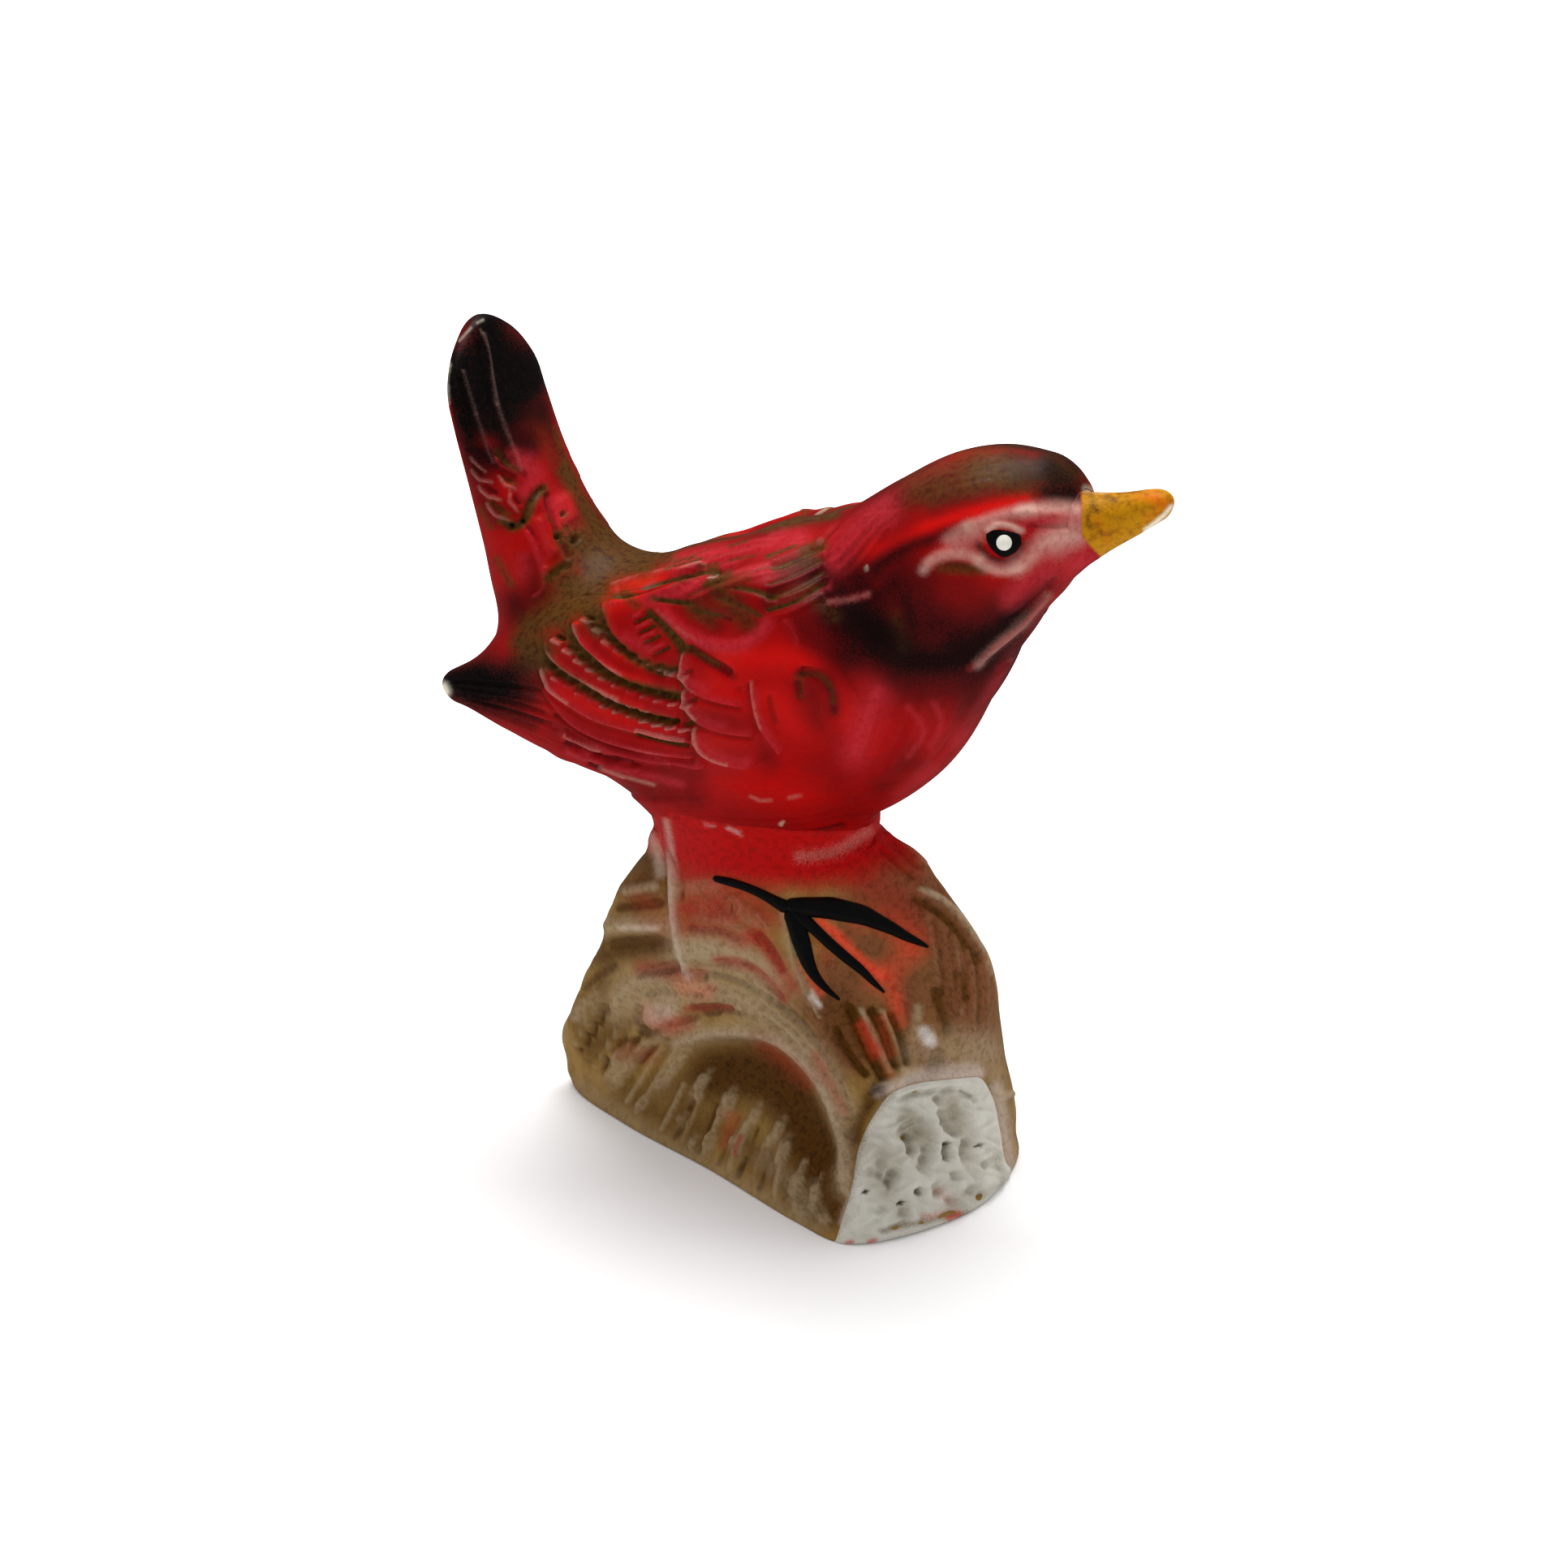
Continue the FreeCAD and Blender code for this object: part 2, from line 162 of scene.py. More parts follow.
def flow(knots, rows, at):
    """Smooth curve through rows of numbers at the knots: cubics whose slope at a knot is
    the mean of the slopes on both sides, each weighted by the other side's length."""
    knots = np.asarray(knots, float)
    rows = np.asarray(rows, float)
    gap = np.diff(knots)
    chord = np.diff(rows, axis=0) / gap[:, None]
    slope = np.empty_like(rows)
    weight = (gap[:-1] + gap[1:])[:, None]
    slope[1:-1] = (chord[:-1] * gap[1:, None] + chord[1:] * gap[:-1, None]) / weight
    slope[0] = 1.5 * chord[0] - 0.5 * slope[1]
    slope[-1] = 1.5 * chord[-1] - 0.5 * slope[-2]
    left = np.clip(np.searchsorted(knots, at) - 1, 0, len(knots) - 2)
    width = gap[left][:, None]
    s = (at - knots[left])[:, None] / width
    start = (1 + 2 * s) * (1 - s) ** 2 * rows[left] + s * (1 - s) ** 2 * width * slope[left]
    end = s * s * (3 - 2 * s) * rows[left + 1] + s * s * (s - 1) * width * slope[left + 1]
    return start + end


def closed_flow(points, number):
    """A number of places along the smooth closed curve through points."""
    wrapped = np.vstack((points[-3:], points, points[:3]))
    at = np.linspace(0, len(points), number, endpoint=False)
    return flow(np.arange(-3, len(points) + 3), wrapped, at)


def travelled(points):
    """Path length at each point of a line."""
    return np.concatenate(([0.0], np.cumsum(np.linalg.norm(np.diff(points, axis=0), axis=1))))


def crowded(length, number):
    """Places from 0 to a length that crowd towards both ends: length (1 - cos a) / 2 at
    even angles a."""
    return length * (1 - np.cos(np.linspace(0, np.pi, number))) / 2


def step(low, high, value):
    """Smooth step from 0 at low to 1 at high: 3 s^2 - 2 s^3 of the share s between them."""
    s = np.clip((value - low) / (high - low), 0, 1)
    return s * s * (3 - 2 * s)


def unit(vectors):
    """Vectors made one long."""
    return vectors / np.maximum(np.linalg.norm(vectors, axis=-1, keepdims=True), 1e-9)


def powered(wave, power):
    """A sine or cosine raised to 2 / power with its sign kept, so 2 gives an ellipse."""
    return np.sign(wave) * np.abs(wave) ** (2 / power)


# %% The limb
FAR = 60.0  # distance given to points out of a limb's reach, in millimetres
REACH = 9.0  # how far round a limb distances are worked out
BLOCK = 16000  # points worked out in one go
STATIONS = 300  # rows of a limb's table
THIN = 0.15  # least half size of a section


class Limb:
    """Egg-shaped sections along a smooth path.

    At path length t and angle a the skin is c + w S(a) s + h C(a) u, where c is the path,
    s points to the bird's left, u is square to s and to the path, S and C are the powered
    sine and cosine, w is the half width and h is the reach up where C is above 0 and the
    reach down elsewhere. Within r of a rounded end, all sizes are multiplied by
    sqrt(1 - (1 - d / r)^2), d being the path length left to the end.
    """

    def __init__(self, rows, round_start, round_end, power=2.0):
        rows = np.array(rows, float)
        knots = travelled(rows[:, :3])
        self.length = knots[-1]
        self.power = power
        self.t = crowded(self.length, STATIONS)
        line = flow(knots, rows, self.t)
        self.centre = line[:, :3]
        ends = np.ones((STATIONS, 2))
        for radii, left in ((round_start, self.t), (round_end, self.length - self.t)):
            for column, radius in enumerate(radii):
                share = 1 - np.clip(left / radius, 0, 1)
                ends[:, column] *= np.sqrt(np.maximum(1 - share**2, 0))
        self.sizes = line[:, 3:] * ends[:, (0, 1, 1)]
        self.way = unit(np.gradient(self.centre, self.t, axis=0))
        self.up = unit(np.cross(self.way, (0.0, 1.0, 0.0)))
        self.side = np.cross(self.up, self.way)
        reach = self.sizes.max() + REACH
        self.low = self.centre.min(0) - reach
        self.high = self.centre.max(0) + reach

    def at(self, t, table):
        """Rows of a table at path lengths, straight between stations."""
        spot = np.clip(np.searchsorted(self.t, t) - 1, 0, len(self.t) - 2)
        share = ((t - self.t[spot]) / (self.t[spot + 1] - self.t[spot]))[:, None]
        return table[spot] * (1 - share) + table[spot + 1] * share

    def even(self, rows):
        """Path lengths that lie evenly along the skin, so that rounded ends get their rows."""
        climb = np.abs(np.diff(self.sizes, axis=0)).max(1)
        run = np.concatenate(([0.0], np.cumsum(np.hypot(np.diff(self.t), climb))))
        return np.interp(np.linspace(0, run[-1], rows), run, self.t)

    def grid(self, t, angles):
        """Skin points, one row for each path length and one column for each angle."""
        sine = powered(np.sin(angles), self.power)[None, :, None]
        cosine = powered(np.cos(angles), self.power)[None, :, None]
        tables = (self.centre, self.side, self.up)
        centre, side, up = (self.at(t, table)[:, None] for table in tables)
        sizes = self.at(t, self.sizes)
        width = sizes[:, 0, None, None]
        height = np.where(cosine > 0, sizes[:, 1, None, None], sizes[:, 2, None, None])
        return centre + width * sine * side + height * cosine * up

    def nearest(self, points):
        """Path length nearest to each point: the nearest station, then a parabola through
        the squared distances of it and its neighbours."""
        square = (self.centre**2).sum(1) - 2 * points @ self.centre.T
        spot = np.clip(square.argmin(1), 1, len(self.t) - 2)
        rows = np.arange(len(points))
        before, here, after = (square[rows, spot + k] for k in (-1, 0, 1))
        left = self.t[spot] - self.t[spot - 1]
        right = self.t[spot + 1] - self.t[spot]
        rise = (after - here) / right
        fall = (here - before) / left
        bend = np.maximum(rise - fall, 1e-9)
        move = -(rise * left + fall * right) / (2 * bend)
        return np.clip(self.t[spot] + np.clip(move, -left, right), 0, self.length)

    def distance(self, points):
        """Signed distance to the skin, below 0 inside: with q the section's own radius of
        the point, 1 on the skin, it is (q - 1) divided by the slope of q."""
        found = np.full(len(points), FAR)
        inside = np.flatnonzero(((points > self.low) & (points < self.high)).all(1))
        for begin in range(0, len(inside), BLOCK):
            part = inside[begin:begin + BLOCK]
            spot = points[part]
            t = self.nearest(spot)
            offset = spot - self.at(t, self.centre)
            across = (offset * self.at(t, self.side)).sum(1)
            upward = (offset * self.at(t, self.up)).sum(1)
            ahead = (offset * self.at(t, self.way)).sum(1)
            sizes = np.maximum(self.at(t, self.sizes), THIN)
            height = np.where(upward > 0, sizes[:, 1], sizes[:, 2])
            a = np.abs(across) / sizes[:, 0] + 1e-6
            b = np.abs(upward) / height + 1e-6
            q = (a**self.power + b**self.power) ** (1 / self.power)
            slope_across = (a / q) ** (self.power - 1) / sizes[:, 0]
            slope_upward = (b / q) ** (self.power - 1) / height
            radial = (q - 1) / np.hypot(slope_across, slope_upward)
            past = (t <= 0) | (t >= self.length)
            found[part] = np.where(past, np.hypot(np.maximum(radial, 0), ahead), radial)
        return found


# %% [markdown]
# ## The bird's forms
# The tables below are close to those the solids are lofted from: places along a form
# and sizes there, as shares of its length, rise, width and depth. The ends are rounded
# by the limb itself.

# %% Body and head
perch_share = 0.435
body_table = np.array((
    (0.000, 0.000, 0.38, 0.205, 0.230),
    (0.120, 0.060, 0.68, 0.365, 0.450),
    (0.270, 0.126, 0.90, 0.455, 0.605),
    (0.420, 0.220, 1.00, 0.470, 0.610),
    (0.550, 0.370, 0.99, 0.462, 0.570),
    (0.660, 0.570, 0.89, 0.376, 0.455),
    (0.745, 0.740, 0.79, 0.340, 0.375),
    (0.830, 0.867, 0.72, 0.325, 0.310),
    (0.900, 0.933, 0.60, 0.290, 0.240),
    (0.960, 0.978, 0.44, 0.235, 0.165),
    (1.000, 1.000, 0.36, 0.200, 0.150),
))
spine_start = belly_low + 0.475 * body_depth


def body_places(x_share, z_share):
    """Points in the middle plane, named by shares of the body's length and rise."""
    x = (x_share - perch_share) * body_length
    z = spine_start + z_share * body_rise
    return np.stack((x, np.zeros_like(x), z), -1)


body_sizes = body_table[:, 2:] * (body_width / 2, body_depth, body_depth)
body = Limb(np.hstack((body_places(body_table[:, 0], body_table[:, 1]), body_sizes)),
            (3.5, 3.5), (3.0, 3.4))

# %% Beak
beak_table = np.array((
    (-0.30, -0.32, 1.08, 0.540, 0.560),
    (0.00, 0.00, 1.00, 0.520, 0.553),
    (0.23, 0.26, 0.80, 0.385, 0.474),
    (0.55, 0.57, 0.60, 0.262, 0.350),
    (0.84, 0.87, 0.44, 0.190, 0.245),
    (1.00, 1.00, 0.34, 0.140, 0.175),
))
beak_lift = 0.42 * beak_length
beak_root = body_places(np.array(0.96), np.array(0.96))
beak_path = beak_root + beak_table[:, (0, 0, 1)] * (beak_length, 0, beak_lift)
beak_sizes = beak_table[:, 2:] * (beak_width / 2, beak_depth, beak_depth)
beak = Limb(np.hstack((beak_path, beak_sizes)), (1.0, 1.0), (1.5, 1.5))

# %% Tail
tail_table = np.array((
    (-0.10, -0.080, 0.83, 0.440),
    (0.00, 0.000, 0.83, 0.480),
    (0.28, 0.141, 0.84, 0.505),
    (0.49, 0.283, 0.86, 0.418),
    (0.64, 0.437, 0.88, 0.293),
    (0.76, 0.591, 0.93, 0.206),
    (0.86, 0.746, 1.00, 0.132),
    (0.93, 0.874, 0.98, 0.095),
    (0.97, 0.951, 0.86, 0.074),
    (1.00, 1.000, 0.64, 0.066),
))
tail_root = body_places(np.array(0.135), np.array(0.0))
tail_path = tail_root + tail_table[:, (0, 0, 1)] * (-tail_sweep, 0, tail_height)
tail_sizes = tail_table[:, (2, 3, 3)] * (tail_width / 2, tail_thickness, tail_thickness)
tail = Limb(np.hstack((tail_path, tail_sizes)), (2.0, 2.0), (8.6, 1.2), power=2.3)

# %% Wing
wing_table = np.array((
    (0.000, 0.520, 0.690, 0.40, 0.25, 0.30),
    (0.050, 0.475, 0.715, 0.46, 0.24, 0.34),
    (0.120, 0.415, 0.740, 0.50, 0.280, 0.434),
    (0.272, 0.290, 0.760, 0.50, 0.345, 0.519),
    (0.465, 0.186, 0.660, 0.48, 0.376, 0.453),
    (0.657, 0.090, 0.500, 0.47, 0.377, 0.340),
    (0.830, 0.022, 0.370, 0.41, 0.250, 0.194),
    (0.955, -0.030, 0.330, 0.26, 0.115, 0.085),
    (1.000, -0.056, 0.340, 0.16, 0.075, 0.055),
))
wing_root = body_places(0.64 + 0 * wing_table[:, 0], wing_table[:, 1])
wing_path = wing_root - wing_table[:, :1] * (wing_length, 0, 0)
wing_path[:, 1] = -(wing_table[:, 2] * body_width + wing_table[:, 3] * wing_thickness) / 2
wing_sizes = wing_table[:, 3:] * (wing_thickness, wing_depth, wing_depth)
wing = Limb(np.hstack((wing_path, wing_sizes)), (4.0, 6.0), (1.8, 1.8), power=2.2)

# %% Leg pillar
leg_table = np.array((
    (-0.60, -0.050, 0.50, 0.45),
    (0.00, -0.060, 0.84, 0.70),
    (0.20, -0.075, 0.94, 0.86),
    (0.42, -0.100, 0.97, 0.95),
    (0.70, -0.140, 1.00, 1.00),
    (1.00, -0.200, 1.10, 1.08),
))
leg_seat = 0.80 * stump_height
leg_rise = belly_low + 0.307 * body_depth - leg_seat
leg_path = np.stack((leg_table[:, 1] * leg_length, 0 * leg_table[:, 1],
                     leg_seat + leg_table[:, 0] * leg_rise), -1)
leg_sizes = leg_table[:, (3, 2, 2)] * (leg_width / 2, leg_length / 2, leg_length / 2)
leg = Limb(np.hstack((leg_path, leg_sizes)), (1.0, 1.0), (1.0, 1.0))
print("limb lengths:", [round(limb.length, 1) for limb in (body, beak, tail, wing, leg)])

# %% [markdown]
# ## The stump's form
# The stump is not a limb: it stands like a bent cone on an uneven foot. Its outline at
# eight levels is a closed curve, turned into a radius for each direction round an upright
# axis, so its skin is the function radius(direction, height).

# %% Stump
stump_levels = (
    (0.000, ((-.526, .032), (-.340, -.137), (-.080, -.286), (.178, -.450), (.310, -.490),
             (.418, -.302), (.468, -.030), (.402, .324), (.093, .527), (-.260, .473), (-.472, .270))),
    (0.184, ((-.532, .024), (-.333, -.092), (-.063, -.205), (.176, -.362), (.300, -.416),
             (.392, -.250), (.434, -.006), (.382, .324), (.093, .519), (-.260, .460), (-.463, .260))),
    (0.342, ((-.497, .011), (-.322, -.086), (-.056, -.195), (.163, -.297), (.274, -.330),
             (.362, -.184), (.405, .016), (.368, .308), (.093, .497), (-.260, .432), (-.443, .243))),
    (0.526, ((-.428, -.016), (-.296, -.124), (-.074, -.211), (.122, -.265), (.228, -.262),
             (.332, -.125), (.392, .040), (.354, .281), (.093, .446), (-.240, .378), (-.390, .216))),
    (0.711, ((-.378, -.041), (-.266, -.145), (-.065, -.227), (.100, -.243), (.189, -.213),
             (.266, -.092), (.332, .058), (.308, .235), (.074, .365), (-.194, .311), (-.318, .178))),
    (0.842, ((-.312, -.054), (-.233, -.151), (-.056, -.222), (.089, -.216), (.163, -.178),
             (.222, -.068), (.275, .056), (.256, .190), (.056, .286), (-.148, .254), (-.270, .135))),
    (0.947, ((-.262, -.054), (-.196, -.130), (-.048, -.168), (.074, -.162), (.135, -.127),
             (.185, -.050), (.232, .046), (.206, .132), (.037, .205), (-.119, .178), (-.215, .095))),
    (1.000, ((-.196, -.035), (-.148, -.086), (-.037, -.114), (.052, -.108), (.096, -.084),
             (.125, -.032), (.150, .030), (.134, .081), (.026, .127), (-.085, .111), (-.156, .060))),
)
stump_axis = np.array((-1.2, 0.4))
DIRECTIONS = 720
HEIGHTS = 200


class Stump:
    """An upright form: the skin is the axis plus radius(direction, height) outwards."""

    def __init__(self, levels):
        directions = np.linspace(-np.pi, np.pi, DIRECTIONS + 1)
        radii = []
        for share, outline in levels:
            points = np.array(outline) * (base_length, base_width) - stump_axis
            smooth = closed_flow(points, 599)
            turn = np.arctan2(smooth[:, 1], smooth[:, 0])
            order = np.argsort(turn)
            out = np.hypot(*smooth.T)[order]
            radii.append(np.interp(directions, turn[order], out, period=2 * np.pi))
        shares = np.array([share for share, outline in levels])
        heights = np.linspace(0, stump_height, HEIGHTS)
        self.table = flow(shares * stump_height, np.array(radii), heights)

    def radius(self, turn, height):
        """Radius at directions and heights, straight between the table's entries."""
        column = (turn + np.pi) / (2 * np.pi) * DIRECTIONS
        row = np.clip(height / stump_height, 0, 1) * (HEIGHTS - 1)
        i = np.clip(row.astype(int), 0, HEIGHTS - 2)
        j = np.clip(column.astype(int), 0, DIRECTIONS - 1)
        v = row - i
        u = column - j
        low = self.table[i, j] * (1 - u) + self.table[i, j + 1] * u
        high = self.table[i + 1, j] * (1 - u) + self.table[i + 1, j + 1] * u
        return low * (1 - v) + high * v

    def distance(self, points):
        """Signed distance: how far the point is outside the radius, divided by the length
        of that difference's slope, or its height over the top where that is more."""
        climb = 0.4
        swing = 0.02
        offset = points[:, :2] - stump_axis
        out = np.maximum(np.hypot(offset[:, 0], offset[:, 1]), 0.5)
        turn = turn_of(points)
        height = points[:, 2]
        above, below = (self.radius(turn, height + way * climb) for way in (1, -1))
        ahead, behind = (self.radius(wrap(turn + way * swing), height) for way in (1, -1))
        lean = (above - below) / (2 * climb)
        bend = (ahead - behind) / (2 * swing)
        side = (out - self.radius(turn, height)) / np.sqrt(1 + lean**2 + (bend / out) ** 2)
        return np.maximum(side, height - stump_height)


def wrap(turn):
    """Directions brought back between minus and plus half a turn."""
    return (turn + np.pi) % (2 * np.pi) - np.pi


def turn_of(points):
    """Directions of points round the stump's axis."""
    return np.arctan2(points[..., 1] - stump_axis[1], points[..., 0] - stump_axis[0])


stump = Stump(stump_levels)
print("stump radius at its foot:", stump.table[0].min().round(1), "to",
      stump.table[0].max().round(1))

# %% [markdown]
# ## One skin from many forms
# A cast figure has no seams where its limbs meet: the clay was smoothed over. Boolean
# unions and a remesh would give that, but would lose the even grids that fine relief
# needs. Here each form keeps its grid, and its points slide outwards until they lie on
# the smooth union of all the forms. Past the line where a neighbour is nearer, the form
# sinks back to its own shape under the neighbour's skin, so that pieces meet without a
# crack and never share a surface.

# %% The common skin
tail_blend = 5.5
leg_blend = 3.2
foot_blend = 3.6
beak_blend = 1.3
wing_blend_low = 1.8
wing_blend_high = 8.5
rump_blend = 6.0
shoulder_places = (-7, 4)  # along the bird, where the wing's blend into the shoulder grows
rump_places = (-8, -14)  # and where its blend into the rump does
MIRROR = np.array((1.0, -1.0, 1.0))
SLIDES = 4  # goes of a slide onto the common skin
SLIDE_PACE = 0.9  # share of the distance that one go covers
SLIDE_IN = 0.6  # how far inwards points may slide, in millimetres
SLIDE_OUT = 2.6  # how far outwards
WALK_START = 60.0  # where a sight line's walk starts, before the figure's middle
WALK_STEPS = 60
WALK_PACE = 0.8  # share of the distance that one step covers
SMALL = 0.05  # half the gap of a central difference
ONTO_STEPS = 5  # steps that bring a point onto the skin


def merge(a, b, reach):
    """Smooth union of two distances: the lower one, less reach (1 - |a - b| / reach)^2 / 4
    where they differ by less than reach."""
    near = np.clip(1 - np.abs(a - b) / reach, 0, 1)
    return np.minimum(a, b) - reach * near**2 / 4


def wing_reach(points):
    """The wing melts into the shoulder and the rump, and stands clear of the back between."""
    shoulder = (wing_blend_high - wing_blend_low) * step(*shoulder_places, points[:, 0])
    rump = (rump_blend - wing_blend_low) * step(*rump_places, points[:, 0])
    return wing_blend_low + shoulder + rump


def distances(points):
    """Distance of each point to every form."""
    return {
        "body": body.distance(points), "tail": tail.distance(points), "leg": leg.distance(points),
        "stump": stump.distance(points), "beak": beak.distance(points),
        "wing": wing.distance(points), "far_wing": wing.distance(points * MIRROR),
    }


def reaches(points):
    """How far each form's blend reaches at each point."""
    return {"tail": tail_blend, "leg": leg_blend, "stump": foot_blend, "beak": beak_blend,
            "wing": wing_reach(points), "far_wing": wing_reach(points)}


def skin(points):
    """Signed distance to the common skin of all forms."""
    found = distances(points)
    depth = found["body"]
    for form, reach in reaches(points).items():
        depth = merge(depth, found[form], reach)
    return depth


def settle(points, outward, own):
    """Slide points along their way out onto the common skin, and let those that lie in a
    neighbour's share of it sink back to their own form: the slide is multiplied by
    1 - step(0, half the blend, own distance - neighbour's distance)."""
    slide = np.zeros(len(points))
    for _ in range(SLIDES):
        slide = slide - SLIDE_PACE * skin(points + slide[:, None] * outward)
        slide = np.clip(slide, -SLIDE_IN, SLIDE_OUT)
    at = points + slide[:, None] * outward
    found = distances(at)
    blend = reaches(at)
    blend["body"] = blend.get(own, 1.0)
    for form, depth in found.items():
        if form != own:
            width = blend[form] if own == "body" else np.minimum(blend[own], blend[form])
            slide = slide * (1 - step(0, width / 2, found[own] - depth))
    return points + slide[:, None] * outward


def normals_of(grid):
    """Unit normals of a grid of points from its central differences along both parameters."""
    down = np.gradient(grid, axis=0)
    across = (np.roll(grid, -1, 1) - np.roll(grid, 1, 1)) / 2
    return unit(np.cross(down, across))


def downhill(points, distance=skin):
    """Way out of a skin: the slope of the distance to it by central differences."""
    ways = []
    for axis in SMALL * np.eye(3):
        ways.append(distance(points + axis) - distance(points - axis))
    return unit(np.stack(ways, -1))


def onto_skin(points):
    """Points moved along the skin's slope until they lie on it."""
    for _ in range(ONTO_STEPS):
        points = points - skin(points)[:, None] * downhill(points)
    return points


def cast(pixels):
    """Where sight lines through pixels first meet the skin: each walks by its distance to it."""
    pixels = np.asarray(pixels, float)
    lines = sight_lines(pixels.reshape(-1, 2))
    run = np.full(len(lines), camera_distance - WALK_START)
    for _ in range(WALK_STEPS):
        run += WALK_PACE * skin(camera_place + run[:, None] * lines)
    return (camera_place + run[:, None] * lines).reshape(*pixels.shape[:-1], 3)


# %% [markdown]
# ## Meshes from grids
# Every piece is a grid of points that closes on itself one way and ends in a single
# point at both ends, so it is a closed solid with its faces outwards.

# %% Mesh maker
pieces = {}


def shell(grid, first):
    """Corners of one grid's faces, numbered from first: quads between the rows and
    triangles round the single points at both ends."""
    rows, columns = grid.shape[:2]
    i, j = np.meshgrid(np.arange(rows - 3), np.arange(columns), indexing="ij")
    after = (j + 1) % columns
    row = i * columns + 1
    below = row + columns
    quads = np.stack((row + j, below + j, below + after, row + after), -1)
    here = np.arange(columns)
    ahead = (here + 1) % columns
    last = (rows - 2) * columns + 1
    top = np.stack((np.zeros(columns, int), here + 1, ahead + 1), -1)
    end = np.stack((np.full(columns, last), ahead + last - columns, here + last - columns), -1)
    return quads.reshape(-1, 4) + first, np.vstack((top, end)) + first


def mirrored(grid):
    """A grid on the bird's other side, its columns turned round to keep its faces outwards."""
    return (grid * MIRROR)[:, ::-1]


def packed(values):
    """Values of a grid's points in the order of the mesh, one for each end row."""
    inner = values[1:-1].reshape(-1, *values.shape[2:])
    return np.concatenate((values[:1, 0], inner, values[-1:, 0]))


def make_piece(name, grids, paints, nodes):
    """A closed mesh from grids whose first and last rows are single points. paints holds
    the value of each grid point under each attribute's name."""
    points = np.concatenate([packed(grid) for grid in grids]) / METRE
    quads = []
    ends = []
    first = 0
    for grid in grids:
        four, three = shell(grid, first)
        quads.append(four)
        ends.append(three)
        first += (grid.shape[0] - 2) * grid.shape[1] + 2
    quads = np.vstack(quads)
    ends = np.vstack(ends)
    sizes = np.concatenate((np.full(len(quads), 4), np.full(len(ends), 3)))
    loops = np.concatenate((quads.ravel(), ends.ravel()))
    mesh = bpy.data.meshes.new(name)
    mesh.vertices.add(len(points))
    mesh.vertices.foreach_set("co", points.ravel())
    mesh.loops.add(len(loops))
    mesh.loops.foreach_set("vertex_index", loops)
    mesh.polygons.add(len(sizes))
    mesh.polygons.foreach_set("loop_start", np.cumsum(sizes) - sizes)
    mesh.update(calc_edges=True)
    mesh.validate()
    for paint, values in paints.items():
        layer = mesh.attributes.new(paint, "FLOAT", "POINT")
        layer.data.foreach_set("value", packed(values).astype(np.float32))
    mesh.shade_smooth()
    piece = bpy.data.objects.new(name, mesh)
    bpy.context.scene.collection.objects.link(piece)
    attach(piece, "root")
    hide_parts(*nodes)
    pieces[name] = piece
    print(name, "triangles", int((sizes - 2).sum()))

# %% [markdown]
# ## Drawing on the skin
# The carver's cuts and the sprayed colours are soft strokes. Each is a line of pixels in
# the view's frame with a width and a strength. A point of the skin takes its height or
# its colour from its distance to the line, where it shows in that frame.

# %% Lines and their distances


def drawn(numbers, spacing=9.0):
    """A smooth line of pixels through points given as x, y, x, y."""
    points = np.array(numbers, float).reshape(-1, 2)
    if len(points) < 3:
        return points
    run = travelled(points)
    return flow(run, points, np.linspace(0, run[-1], max(int(run[-1] / spacing), 3)))


def measure(pixels, line):
    """Distance of each pixel to a line, signed by its side, above 0 on the right of its
    travel, and how far along it the nearest place is, and the line's length."""
    start, end = line[:-1], line[1:]
    run = end - start
    length = np.maximum(np.linalg.norm(run, axis=1), 1e-6)
    offset = pixels[:, None] - start
    share = np.clip((offset * run).sum(-1) / length**2, 0, 1)
    gap = np.linalg.norm(offset - share[..., None] * run, axis=-1)
    best = gap.argmin(1)
    rows = np.arange(len(pixels))
    cross = run[best, 0] * offset[rows, best, 1] - run[best, 1] * offset[rows, best, 0]
    along = (np.cumsum(length) - length)[best] + share[rows, best] * length[best]
    return gap[rows, best] * np.where(cross < 0, -1, 1), along, length.sum()


def close_to(pixels, line, margin):
    """Indices of the pixels in a line's box, widened by a margin."""
    low = line.min(0) - margin
    high = line.max(0) + margin
    return np.flatnonzero(((pixels > low) & (pixels < high)).all(1))


# %% Carved strokes


def ridge(s):
    """A round ridge at signed distances in widths: exp(-s^2)."""
    return np.exp(-s**2)


def lip(s):
    """A raised edge that falls softly, as exp(s / 2), to the left of its travel, and
    steeply, as exp(-4 s^2), to the right, less a cut of 0.45 exp(-((s - 1.1) / 0.6)^2)."""
    edge = np.where(s < 0, np.exp(s / 2.0), np.exp(-4 * s**2))
    return edge - 0.45 * np.exp(-((s - 1.1) / 0.6) ** 2)


def carve(pixels, ridges, lips=()):
    """Sum of carved strokes in millimetres: each one's height times its section, which
    fades in and out at the ends. Past its reach in widths a section is taken as nothing."""
    flat = pixels.reshape(-1, 2)
    height = np.zeros(len(flat))
    strokes = [(ridge, 3, stroke) for stroke in ridges] + [(lip, 9, stroke) for stroke in lips]
    for section, reach, (rise, width, numbers) in strokes:
        line = drawn(numbers)
        near = close_to(flat, line, width * reach)
        if not len(near):
            continue
        side, along, length = measure(flat[near], line)
        soft = min(1.4 * width, 0.35 * length + 0.5)
        fade = step(-0.1, soft, along) * step(-0.1, soft, length - along)
        height[near] += rise * fade * section(side / width)
    return height.reshape(pixels.shape[:-1])


